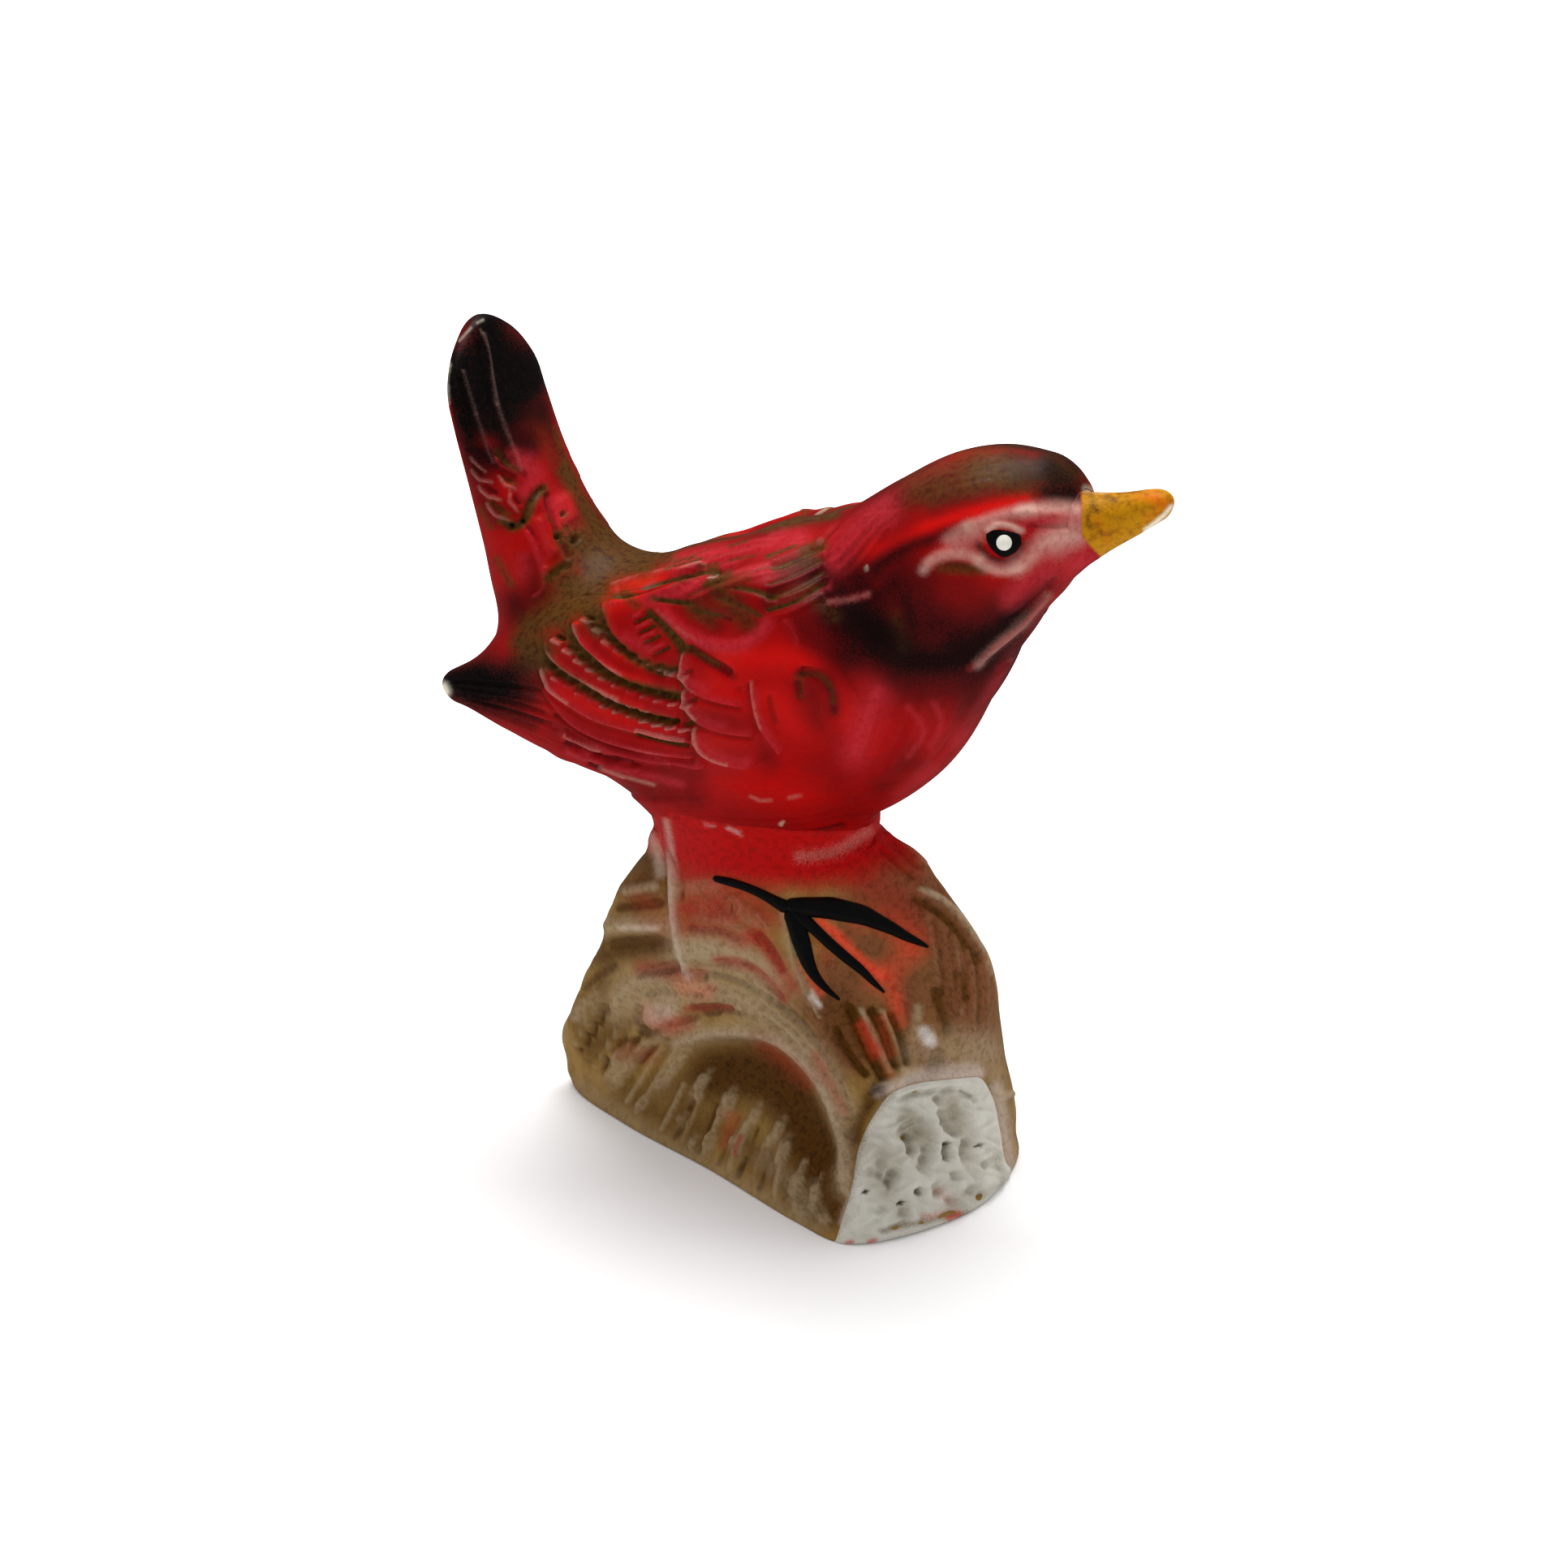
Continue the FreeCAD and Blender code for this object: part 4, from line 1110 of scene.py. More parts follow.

# %% [markdown]
# ## Spraying the bird
# The colours lie over the red ground in soft layers: maroon and black paint, with maroon
# also laid in the low cuts as painted shade, brown dust in the feather valleys, pink where
# a lip was rubbed and as painted sheen on raised lines, pale strokes on the face with
# painted highlights on the brow, lid and lips, white where the paint is chipped, and
# painted highlights on the beak's edges and the tail's left edge. A shot is its strength,
# its width in pixels and a line.

# %% Shots for the bird
bird_shots = {
    # Maroon paint; the relief rules below also lay it in the low cuts as painted shade.
    "maroon_and_shade": (
        (0.55, 26, (1095, 622, 1140, 602, 1190, 588, 1245, 578)),
        (0.5, 14, (1150, 618, 1200, 606, 1250, 598)),
        (0.8, 11, (1078, 702, 1095, 688, 1119, 674, 1160, 661, 1190, 651)),
        (0.5, 24, (1108, 694, 1114, 730, 1122, 775)), (0.6, 46, (1110, 730, 1150, 760)),
        (0.45, 26, (1160, 716, 1220, 738)), (0.75, 30, (1052, 704, 1060, 740, 1075, 780)),
        (0.6, 26, (1020, 730, 1030, 780, 1050, 810)), (0.6, 20, (1252, 788, 1226, 830)),
        (0.4, 20, (1250, 572, 1300, 580)), (0.8, 26, (598, 520, 650, 538)), (0.6, 18, (590, 572, 640, 560)),
        (0.7, 7, (985, 830, 1012, 833, 1023, 848, 1028, 876)), (0.5, 30, (1066, 632, 1110, 602, 1150, 586)),
        (0.3, 40, (860, 730, 940, 715, 1000, 720)), (0.28, 34, (610, 600, 640, 660, 650, 720)),
        (0.5, 5, (880, 818, 904, 834)), (0.25, 16, (1135, 705, 1142, 740, 1150, 770)),
        (0.6, 14, (1060, 712, 1078, 735, 1100, 720)), (0.97, 34, (1034, 752, 1062, 772, 1096, 792)),
        (0.95, 32, (1080, 790, 1120, 812, 1160, 815, 1212, 800)),
        (0.85, 24, (1180, 790, 1225, 784, 1256, 762)), (0.7, 16, (1240, 770, 1270, 742, 1292, 716)),
        (0.5, 22, (1150, 770, 1200, 762, 1240, 744)), (0.6, 26, (1100, 840, 1150, 852, 1190, 846)),
        (0.5, 20, (1215, 812, 1206, 850, 1190, 880)), (0.7, 24, (1010, 712, 1030, 740, 1044, 760)),
        (0.6, 12, (945, 742, 985, 730, 1012, 718)), (0.6, 10, (950, 728, 980, 712, 1012, 700)),
        (0.55, 9, (960, 700, 985, 692, 1010, 690)), (0.55, 18, (985, 770, 1010, 800, 1040, 812)),
        (0.6, 18, (884, 728, 905, 748, 922, 766)), (0.5, 12, (850, 744, 870, 758, 884, 770)),
        (0.5, 12, (820, 676, 887, 661, 940, 652)), (0.6, 12, (945, 648, 985, 641, 1030, 633)),
        (0.25, 34, (1010, 880, 1030, 920, 1020, 960)), (0.35, 30, (900, 1000, 1000, 1014, 1060, 1000)),
        (0.4, 22, (1000, 850, 1006, 880)), (0.45, 20, (1125, 935, 1085, 970)),
        (0.22, 14, (925, 850, 930, 900, 950, 940)), (0.9, 20, (556, 540, 590, 560, 632, 568)),
        (0.85, 20, (640, 508, 664, 512)), (0.6, 18, (625, 545, 650, 548)),
        (0.5, 10, (585, 570, 592, 610, 612, 640)), (0.6, 9, (668, 500, 690, 562, 712, 614, 738, 650)),
        (0.45, 14, (655, 690, 660, 725)), (0.55, 24, (640, 748, 700, 735)), (0.5, 16, (640, 760, 632, 740)),
        (0.4, 22, (690, 896, 760, 930, 850, 955)), (0.4, 16, (780, 972, 860, 988)),
        (0.35, 10, (846, 838, 850, 880, 856, 930)), (0.35, 18, (870, 886, 905, 890)),
        (0.3, 18, (890, 930, 940, 932)),
    ),
    "blaze": (
        (0.95, 8, (1262, 613, 1230, 621, 1206, 628, 1170, 640, 1140, 652)),
        (0.75, 10, (1142, 651, 1114, 667, 1092, 677)), (0.9, 11, (1078, 678, 1063, 690, 1057, 703)),
        (0.3, 20, (1165, 722, 1200, 732, 1226, 724)), (0.8, 12, (651, 650, 660, 678, 674, 702)),
        (0.6, 24, (634, 664, 642, 690, 648, 716)), (0.8, 9, (604, 548, 614, 578, 624, 606)),
        # The first stroke on the next line paints the tail's lit left edge bright: a painted highlight.
        (1.0, 6, (548, 503, 553, 530, 561, 560)), (0.5, 6, (590, 508, 598, 530)),
        (0.85, 14, (704, 610, 690, 640, 686, 660)), (0.95, 7, (748, 727, 790, 717, 850, 707)),
        (0.9, 9, (746, 748, 770, 742, 788, 738)), (0.9, 5, (711, 768, 722, 763)),
        (0.8, 20, (900, 812, 950, 810, 1000, 815)), (0.6, 26, (880, 850, 910, 860)),
        (0.6, 24, (950, 860, 985, 890)), (0.7, 6, (750, 790, 770, 808, 800, 822)),
        (0.7, 6, (716, 796, 740, 816, 770, 832, 800, 842)),
        (0.7, 6, (682, 812, 700, 830, 740, 852, 790, 872)),
        (0.5, 8, (690, 850, 730, 872, 780, 892, 820, 902)), (0.5, 30, (1030, 880, 1060, 900)),
        (0.4, 26, (880, 915, 920, 920)), (0.4, 30, (900, 975, 1000, 985)),
    ),
    # Pink where lips were rubbed, and painted sheen on raised feathers and the breast.
    "pink_rub_and_sheen": (
        (0.7, 11, (1330, 632, 1290, 641, 1262, 642)), (0.75, 24, (1330, 690, 1316, 668, 1296, 672)),
        (0.6, 16, (1292, 705, 1264, 718, 1244, 738)), (0.55, 13, (1165, 672, 1185, 662, 1206, 652)),
        (0.55, 14, (1240, 845, 1258, 815, 1285, 780, 1312, 742)),
        (0.5, 16, (1186, 915, 1218, 875, 1240, 840)), (0.3, 16, (1070, 622, 1110, 598, 1160, 574)),
        (0.6, 20, (1030, 686, 1060, 652, 1092, 630)), (0.5, 22, (1080, 860, 1062, 900, 1052, 930)),
        (0.4, 5, (1119, 872, 1138, 900, 1119, 932)), (0.45, 5, (1082, 850, 1066, 890, 1053, 927)),
        (0.4, 5, (1150, 866, 1160, 890, 1146, 920)), (0.6, 14, (648, 570, 660, 590, 648, 606)),
        (0.7, 16, (688, 622, 700, 650, 714, 672)), (0.6, 6, (652, 652, 664, 684, 674, 712)),
        (0.6, 6, (690, 668, 706, 690)), (0.5, 8, (632, 556, 640, 572)),
        (0.8, 7, (708, 742, 712, 733, 732, 731)), (0.5, 7, (690, 738, 692, 715)),
        (0.75, 15, (832, 690, 880, 680, 930, 673, 984, 662)), (0.7, 14, (838, 712, 890, 704, 945, 702)),
        (0.75, 9, (820, 758, 840, 776, 864, 789, 898, 796, 925, 789, 944, 770)),
        (0.6, 10, (800, 740, 830, 730, 860, 724)), (0.4, 7, (960, 742, 1000, 730, 1020, 722)),
        (0.4, 6, (1022, 742, 1049, 738, 1068, 733)), (0.5, 9, (770, 785, 800, 800)),
        (0.55, 8, (842, 812, 850, 840, 870, 850)), (0.5, 8, (846, 860, 862, 884, 890, 896)),
        (0.45, 8, (860, 910, 880, 930, 920, 938)), (0.45, 6, (930, 850, 936, 886, 954, 916)),
        (0.5, 6, (700, 926, 760, 946, 840, 966)), (0.5, 6, (696, 908, 740, 923, 810, 937)),
        (0.4, 12, (1150, 950, 1110, 985)),
    ),
    "ochre": (
        (1.0, 26, (1364, 620, 1400, 632)), (1.0, 24, (1352, 612, 1352, 655)),
        (1.0, 26, (1400, 622, 1440, 622)),
    ),
    "amber": (
        (0.85, 8, (1420, 614, 1438, 623)), (0.5, 7, (1402, 611, 1424, 612)),
        (0.35, 6, (1412, 640, 1430, 628)), (0.3, 8, (1352, 640, 1364, 664)),
    ),
    "earth": (
        (0.95, 26, (715, 665, 750, 690, 790, 694)), (0.95, 26, (700, 720, 735, 722, 732, 700)),
        (0.9, 20, (655, 772, 690, 752, 716, 742)), (0.95, 12, (728, 752, 736, 775)),
        (0.85, 14, (640, 790, 660, 800, 668, 815)), (0.7, 12, (690, 762, 700, 778)),
        (0.8, 12, (694, 580, 712, 610, 730, 640, 744, 664)), (0.6, 7, (684, 530, 694, 562, 706, 594)),
        (0.95, 7, (619, 642, 632, 650, 648, 640, 655, 618, 670, 602)),
        (0.85, 7, (676, 712, 690, 700, 703, 694)), (0.9, 5, (706, 662, 712, 670)),
        (0.8, 4, (687, 657, 689, 664)), (0.8, 3.4, (692, 632, 695, 636)), (0.7, 3.4, (674, 636, 677, 641)),
        (0.6, 3, (698, 648, 700, 652)), (0.6, 12, (690, 660, 704, 676)),
        (0.7, 5, (612, 556, 625, 570, 636, 578)), (0.6, 5, (620, 590, 634, 596)),
        (0.55, 5, (604, 616, 614, 627, 626, 634)), (0.75, 12, (750, 656, 768, 672, 796, 680)),
        (0.97, 7.5, (741, 757, 748, 779, 768, 800, 792, 817, 829, 826)),
        (0.97, 7.5, (702, 781, 709, 799, 728, 817, 748, 831, 772, 841, 796, 847, 832, 855)),
        (0.97, 7.5, (671, 812, 684, 822, 706, 836, 727, 850, 745, 862, 766, 871, 790, 880, 824, 888)),
        (0.8, 8, (806, 760, 823, 776, 842, 800)), (0.7, 4.4, (840, 794, 864, 809, 882, 820)),
        (0.85, 4, (757, 735, 778, 734)), (0.75, 4, (806, 738, 828, 741, 852, 744)),
        (0.6, 8, (772, 732, 784, 746)), (0.6, 14, (856, 750, 872, 762)),
        (0.5, 16, (886, 728, 900, 744, 918, 766)), (0.5, 10, (880, 716, 920, 712)),
        (0.45, 5, (985, 832, 1012, 833, 1022, 843, 1027, 866)), (0.3, 8, (985, 838, 988, 860)),
        (0.7, 6, (822, 678, 887, 662, 940, 651)), (0.85, 8, (948, 648, 985, 641, 1028, 633)),
        (0.75, 9, (990, 680, 1012, 672)), (0.6, 7, (955, 700, 1008, 692)), (0.55, 8, (952, 738, 1004, 722)),
        (0.8, 2.4, (822, 704, 864, 688)), (0.8, 2.4, (832, 693, 856, 686)),
        (0.75, 2.4, (898, 673, 921, 666)), (0.85, 3, (945, 686, 979, 673)), (0.8, 3, (868, 722, 900, 707)),
        (0.7, 2.4, (862, 700, 884, 694)), (0.7, 2.4, (900, 690, 930, 684)),
        (0.6, 2.4, (832, 722, 860, 712)), (0.7, 9, (1162, 699, 1188, 701, 1212, 701)),
        (0.55, 30, (1130, 600, 1170, 584, 1230, 572)), (0.75, 24, (1210, 580, 1310, 588)),
        (0.35, 14, (1150, 612, 1200, 600)), (0.6, 12, (1290, 566, 1316, 582)),
        (0.3, 10, (1240, 596, 1280, 606)), (0.4, 12, (1010, 745, 1030, 760)),
        (0.35, 14, (1104, 760, 1112, 800)), (0.45, 16, (650, 812, 640, 826)),
        (0.8, 20, (650, 812, 668, 800)), (0.7, 12, (800, 682, 824, 688)), (0.6, 7, (630, 720, 612, 690)),
        (0.6, 5, (592, 628, 604, 650)), (0.5, 4, (562, 426, 552, 446)), (0.55, 4, (1346, 622, 1352, 630)),
        (0.5, 4, (1362, 611, 1374, 617)), (0.6, 4, (1378, 606, 1396, 605)),
        (0.45, 4, (1352, 648, 1358, 658)), (0.45, 5, (1340, 634, 1342, 650)),
        (0.4, 3, (1402, 606, 1414, 609)), (0.5, 5, (1336, 604, 1346, 612)),
        (0.3, 4, (1372, 636, 1380, 644)), (0.35, 4, (1392, 622, 1400, 626)),
        (0.3, 10, (1344, 626, 1372, 620)), (0.4, 3, (1360, 660, 1368, 658)),
    ),
    "soot": (
        (1.0, 46, (600, 396, 610, 436)), (1.0, 40, (560, 452, 620, 454, 650, 454)),
        (1.0, 34, (566, 474, 600, 476, 644, 468)), (0.95, 26, (574, 492, 610, 492, 642, 478)),
        (0.85, 20, (572, 520, 600, 522, 622, 514)), (0.8, 8, (572, 500, 579, 538)),
        (0.5, 12, (584, 548, 600, 560)), (0.5, 12, (612, 530, 626, 545)), (1.0, 32, (546, 842, 588, 836)),
        (0.95, 28, (585, 850, 616, 846)), (0.7, 24, (620, 846, 642, 858)), (0.5, 22, (634, 826, 656, 838)),
        (0.5, 10, (600, 872, 656, 894)), (0.75, 12, (1290, 608, 1322, 612)),
        (0.7, 24, (1292, 576, 1320, 600)), (0.3, 22, (1262, 590, 1300, 596)),
        (0.25, 22, (1250, 570, 1295, 566)), (0.7, 26, (1062, 764, 1086, 784)),
        (0.6, 26, (1120, 812, 1160, 814, 1200, 806)), (0.5, 14, (1216, 782, 1250, 762)),
        (0.5, 8, (1116, 738, 1124, 768)), (0.4, 12, (1036, 742, 1050, 752)), (0.9, 3, (628, 648, 631, 649)),
        (0.9, 3, (645, 641, 646, 643)),
    ),
    # Pale paint round the eye and on worn lips, and painted highlights on the brow, the upper lid and the
    # throat line.
    "pale_paint_and_highlight": (
        (0.75, 9, (1328, 628, 1300, 625, 1280, 627, 1262, 630)), (0.8, 6, (1256, 629, 1272, 626)),
        (0.5, 8, (1250, 632, 1232, 636, 1212, 643, 1194, 650)), (0.3, 8, (1194, 650, 1168, 664)),
        (0.55, 12, (1326, 662, 1300, 662, 1282, 670, 1269, 686, 1254, 698)),
        (0.5, 18, (1302, 668, 1324, 650)), (0.65, 7, (1254, 698, 1236, 702, 1218, 698, 1206, 690)),
        (0.55, 7, (1206, 689, 1190, 683, 1170, 683, 1150, 689, 1138, 702)),
        (0.95, 4, (1217, 653, 1226, 647, 1242, 647, 1258, 654)), (0.35, 12, (1180, 668, 1204, 658)),
        (0.34, 7, (1293, 737, 1273, 759, 1250, 777, 1228, 795, 1204, 818)),
        (0.2, 5, (1300, 748, 1276, 780, 1246, 812)), (0.35, 5, (1286, 790, 1262, 822)),
        (0.16, 4, (1020, 742, 1049, 738, 1070, 732)), (0.16, 2.0, (592, 406, 600, 426, 607, 471, 612, 498)),
        (0.12, 2.0, (612, 498, 622, 528, 634, 558, 642, 580)), (0.1, 2.0, (570, 456, 577, 480, 586, 510)),
        (0.1, 2.0, (586, 510, 598, 546, 607, 570)), (0.2, 2.4, (580, 564, 587, 572, 598, 581)),
        (0.22, 2.4, (581, 580, 590, 590, 606, 594)), (0.25, 2.4, (590, 600, 597, 608, 617, 616)),
        (0.25, 2.4, (600, 621, 607, 631, 626, 641)), (0.25, 2.4, (615, 587, 622, 598, 634, 602)),
        (0.22, 2.4, (628, 605, 626, 611, 638, 630)), (0.35, 2.6, (842, 806, 840, 826, 846, 845)),
        (0.35, 2.6, (843, 852, 846, 870, 858, 886)), (0.35, 2.6, (856, 899, 860, 920, 875, 934, 896, 941)),
        (0.25, 2.6, (926, 841, 930, 872, 937, 896)), (0.35, 2.6, (737, 948, 768, 957, 806, 967)),
        (0.3, 2.6, (696, 907, 713, 914, 740, 925)), (0.25, 2.4, (924, 981, 934, 986, 950, 986)),
        (0.2, 3, (972, 983, 986, 980)), (0.35, 3, (668, 826, 676, 846, 700, 866)),
        (0.3, 2.4, (708, 772, 716, 794, 738, 814, 766, 831)),
        (0.35, 2.4, (675, 804, 692, 824, 730, 845, 762, 862)), (0.3, 2.6, (744, 858, 766, 868, 800, 878)),
    ),
    "bare": (
        (1.0, 4.0, (551, 450, 547, 468, 548, 496)), (0.3, 2.0, (595, 394, 588, 398)),
        (0.25, 2.0, (580, 404, 566, 420)), (1.0, 6, (546, 846, 549, 852)),
        # The first stroke on the next line is a painted highlight on the beak's lower edge.
        (1.0, 3, (1443, 624, 1434, 635, 1421, 646, 1411, 653)), (0.3, 2.4, (868, 1016, 880, 1017)),
        (0.35, 3, (896, 1020, 912, 1027)), (0.35, 2.6, (874, 712, 882, 708)),
        (0.5, 2, (962, 1016, 964, 1014)), (0.4, 2, (1068, 702, 1067, 698)),
        # A painted highlight along the top of the bill.
        (0.3, 5, (1338, 602, 1362, 604)),
    ),
}
# The tail's lit left edge, a painted highlight: maroon and black are kept off it.
lit_tail_edge = ((0.95, 7, (546, 498, 551, 528, 560, 558)),)
through = ("maroon_and_shade", "blaze", "ochre", "amber", "earth", "soot", "bare")


# Where the beak's colour starts: columns of its edge, the row below which that edge leans
# forwards and its lean, the rows of the bill's top edge and the columns that it spares.
beak_edge = (1330, 1335)
chin_row = 660
chin_lean = 0.9
bill_top = (601, 607)
bill_front = (1345, 1352)


def beyond(pixels):
    """1 on the beak's side of the line where its colour starts. Above the bill's top edge
    that line stands further out, so the crown keeps its red."""
    across, down = pixels[..., 0], pixels[..., 1]
    front = step(*beak_edge, across - chin_lean * np.maximum(down - chin_row, 0))
    return front * np.maximum(step(*bill_top, down), step(*bill_front, across))


def at_least(paints, colour, cover):
    """Raise a colour's cover to a value wherever it is less."""
    paints[colour] = np.maximum(paints[colour], cover)


def by_height(paints, height, rules, within=1.0):
    """Cover that goes with the relief, of each colour in the rules: (height - start) /
    span, from 0 to most."""
    for colour, start, span, most in rules:
        at_least(paints, colour, within * np.clip((height - start) / span, 0, most))


def painted(grid, height):
    """Cover of each colour at each point of a piece of the bird, and the beak's share.
    Broad colours go right through to the far side; fine ones stay in sight. Raised lines
    take pink, partly rubbed paint and partly painted sheen; low ones take maroon as painted
    shade; the highest feather lips take a pale painted highlight; brown dust lies between
    the feathers and along the spine."""
    outward = normals_of(grid)
    charts = charts_of(grid, outward)
    shape = grid.shape[:2]
    paints = {}
    for colour, shots in bird_shots.items():
        fine = colour not in through
        paints[colour] = over(charts, shape, lambda pixels: spray(pixels, shots), fine)
    beak_side = over(charts, shape, beyond, False)
    within = over(charts, shape, lambda pixels: inside(pixels, feathered, feathered_soft))
    # Maroon and black stay off the tail's lit left edge, a painted highlight.
    lit_edge_share = over(charts, shape, lambda pixels: spray(pixels, lit_tail_edge), False)
    for colour in ("soot", "maroon_and_shade"):
        paints[colour] *= 1 - lit_edge_share
    for colour in ("ochre", "amber"):
        paints[colour] *= beak_side
    for colour in ("pale_paint_and_highlight", "pink_rub_and_sheen", "soot"):
        paints[colour] *= 1 - beak_side
    upwards = step(0.30, 0.75, outward[..., 2])
    spine = upwards * step(*spine_side, grid[..., 1]) * (1 - beak_side)
    at_least(paints, "maroon_and_shade", 0.75 * spine)
    at_least(paints, "earth", 0.62 * spine)
    at_least(paints, "soot", 0.6 * spine * step(*crown_places, grid[..., 0]))
    by_height(paints, height, skin_rules)
    by_height(paints, height, feather_rules, within)
    return paints, beak_side


spine_side = (-2.5, 1.5)  # across the bird, in millimetres: the spine's shade starts here
crown_places = (18, 27)  # along the bird: the crown's black starts here
# Raised lines take pink, partly rubbed paint and partly painted sheen; low cuts take maroon as painted
# shade.
skin_rules = (("pink_rub_and_sheen", 0.12, 0.50, 0.50), ("maroon_and_shade", -0.04, -0.26, 0.70))
# Brown dust lies in the feather valleys; the highest lips take pale paint as a painted highlight.
feather_rules = (("earth", 0.0, -0.26, 0.95), ("pale_paint_and_highlight", 0.34, 0.50, 0.30))
feathered_soft = 14
feathered = (640, 770, 740, 700, 880, 672, 1000, 660, 1026, 700, 1010, 750, 940, 768, 900, 752,
             850, 800, 862, 905, 820, 940, 660, 850)
body_paint = painted(body_smooth, body_height)[0]
tail_paint = painted(tail_smooth, tail_height_map)[0]
wing_paint = painted(wing_smooth, wing_height)[0]
beak_paint, beak_side = painted(beak_grid, 0 * beak_grid[..., 0])
at_least(beak_paint, "ochre", beak_side)
print("bird's colours:", ", ".join(bird_shots))

# %% [markdown]
# ## Carving and spraying the stump
# Bark runs over the log in folds and streaks, and slip that ran down dried in arcs. The
# side away from the camera isn't seen in the view, so it takes folds that run round the
# log, made of a few sines with a seed's phases.

# %% Stump cuts
arch_line = (834, 1286, 859, 1277, 894, 1273, 930, 1275, 959, 1282, 987, 1304, 1009, 1332,
             1026, 1368, 1037, 1411, 1041, 1464)
seam_line = (821, 1012, 826, 1040, 830, 1071, 830, 1118, 837, 1161, 848, 1203)
streaks = (
    (873, 1321, 862, 1340, 851, 1357), (901, 1343, 896, 1360, 891, 1379),
    (930, 1362, 920, 1390, 910, 1428), (959, 1378, 952, 1398, 944, 1420),
    (987, 1443, 982, 1460, 976, 1477), (880, 1393, 876, 1406, 872, 1420), (845, 1372, 836, 1388),
    (1004, 1455, 1003, 1475, 998, 1496), (1015, 1492, 1018, 1512), (906, 1395, 899, 1415),
    (823, 1322, 810, 1345), (787, 1304, 755, 1339), (848, 1293, 816, 1339), (800, 1350, 784, 1368),
    (770, 1290, 750, 1310), (968, 1400, 960, 1440), (858, 1400, 850, 1420), (992, 1480, 986, 1505),
)
stump_cuts = [
    (0.50, 9.0, arch_line), (0.40, 7.0, seam_line),
    (-0.30, 4.0, (829, 1020, 834, 1045, 838, 1071, 838, 1112)),
    (-0.22, 4.0, (812, 1030, 816, 1060, 820, 1100, 824, 1130)), (0.30, 9.0, (812, 1018, 806, 1045)),
    (0.55, 10.0, (740, 1144, 770, 1139, 800, 1139, 824, 1143)),
    (-0.45, 9.0, (742, 1164, 775, 1162, 822, 1158)), (-0.30, 8.0, (752, 1122, 790, 1116, 822, 1112)),
    (0.25, 8.0, (762, 1100, 795, 1094, 820, 1090)),
    (0.36, 8.0, (758, 1250, 762, 1229, 780, 1211, 805, 1202, 841, 1204)),
    (-0.42, 7.0, (792, 1202, 810, 1194, 844, 1193)), (-0.25, 9.0, (715, 1230, 735, 1205, 765, 1185)),
    (0.25, 9.0, (706, 1265, 722, 1235, 745, 1212)), (-0.30, 6.0, (718, 1290, 735, 1262, 755, 1240)),
    (0.50, 16.0, (804, 1252, 822, 1247)),
    (-0.42, 5.0, (788, 1236, 786, 1262, 798, 1274, 830, 1261, 859, 1253, 890, 1248)),
    (-0.30, 4.0, (792, 1230, 812, 1222, 836, 1228)),
    (0.34, 7.0, (751, 1332, 773, 1307, 805, 1283, 834, 1265, 873, 1254)),
    (-0.32, 6.0, (738, 1318, 760, 1294, 786, 1276)), (-0.30, 5.0, (770, 1322, 795, 1298, 828, 1278)),
    (-0.30, 4.6, (844, 1142, 862, 1146, 880, 1146, 912, 1161)),
    (-0.34, 4.0, (884, 1182, 912, 1185, 930, 1196, 944, 1211, 966, 1233)),
    (-0.30, 4.6, (930, 1146, 951, 1171, 965, 1200)),
    (0.30, 6.0, (862, 1130, 890, 1134, 918, 1146, 940, 1165)),
    (0.30, 4.0, (890, 1112, 896, 1107, 908, 1106, 914, 1112, 912, 1124, 900, 1130, 890, 1124, 889, 1114)),
    (-0.26, 5.0, (900, 1118, 903, 1118)), (0.25, 5.0, (925, 1120, 940, 1132, 950, 1148)),
    (-0.30, 5.0, (846, 1243, 870, 1240, 890, 1242, 905, 1246)), (-0.24, 4.0, (845, 1222, 868, 1228)),
    (0.25, 6.0, (852, 1235, 880, 1232)),
    (0.26, 2.4, (961, 1112, 967, 1128, 971, 1150, 978, 1182, 988, 1210, 1000, 1234, 1012, 1256)),
    (-0.60, 6.0, (1044, 1236, 1056, 1262, 1068, 1290, 1080, 1312, 1092, 1334)),
    (-0.60, 5.4, (1070, 1240, 1084, 1262, 1095, 1288, 1106, 1318)),
    (-0.55, 5.0, (1094, 1244, 1104, 1266, 1112, 1290, 1118, 1316)),
    (0.34, 5.0, (1057, 1238, 1070, 1262, 1082, 1290, 1098, 1326)),
    (0.34, 5.0, (1082, 1240, 1096, 1262, 1104, 1290, 1112, 1322)),
    (-0.50, 5.0, (1026, 1262, 1041, 1290, 1058, 1314, 1072, 1328)), (-0.70, 12.0, (1080, 1338, 1084, 1346)),
    (-0.60, 15.0, (1142, 1306, 1164, 1314)), (0.40, 8.0, (1138, 1274, 1146, 1282)),
    (0.30, 5.0, (1126, 1094, 1150, 1103, 1170, 1117, 1196, 1149, 1219, 1184, 1226, 1206)),
    (-0.26, 6.0, (1120, 1104, 1160, 1126, 1190, 1160, 1210, 1190)),
    (-0.22, 5.0, (1088, 1028, 1110, 1048, 1138, 1072)), (-0.20, 5.0, (1078, 1040, 1104, 1062, 1130, 1086)),
    (0.20, 5.0, (1092, 1022, 1116, 1042, 1144, 1068)), (-0.25, 7.0, (1150, 1210, 1162, 1250, 1172, 1280)),
    (-0.22, 7.0, (1180, 1190, 1192, 1240)), (0.25, 8.0, (1132, 1230, 1128, 1262, 1124, 1290)),
    (0.24, 8.0, (1206, 1260, 1212, 1310)), (-0.35, 5.0, (1222, 1330, 1232, 1380, 1236, 1430)),
    (0.60, 12.0, (1247, 1340, 1252, 1352)), (-0.25, 5.0, (1052, 1408, 1066, 1372, 1084, 1346)),
    (-0.20, 5.0, (1112, 1332, 1160, 1322, 1206, 1318)),
]
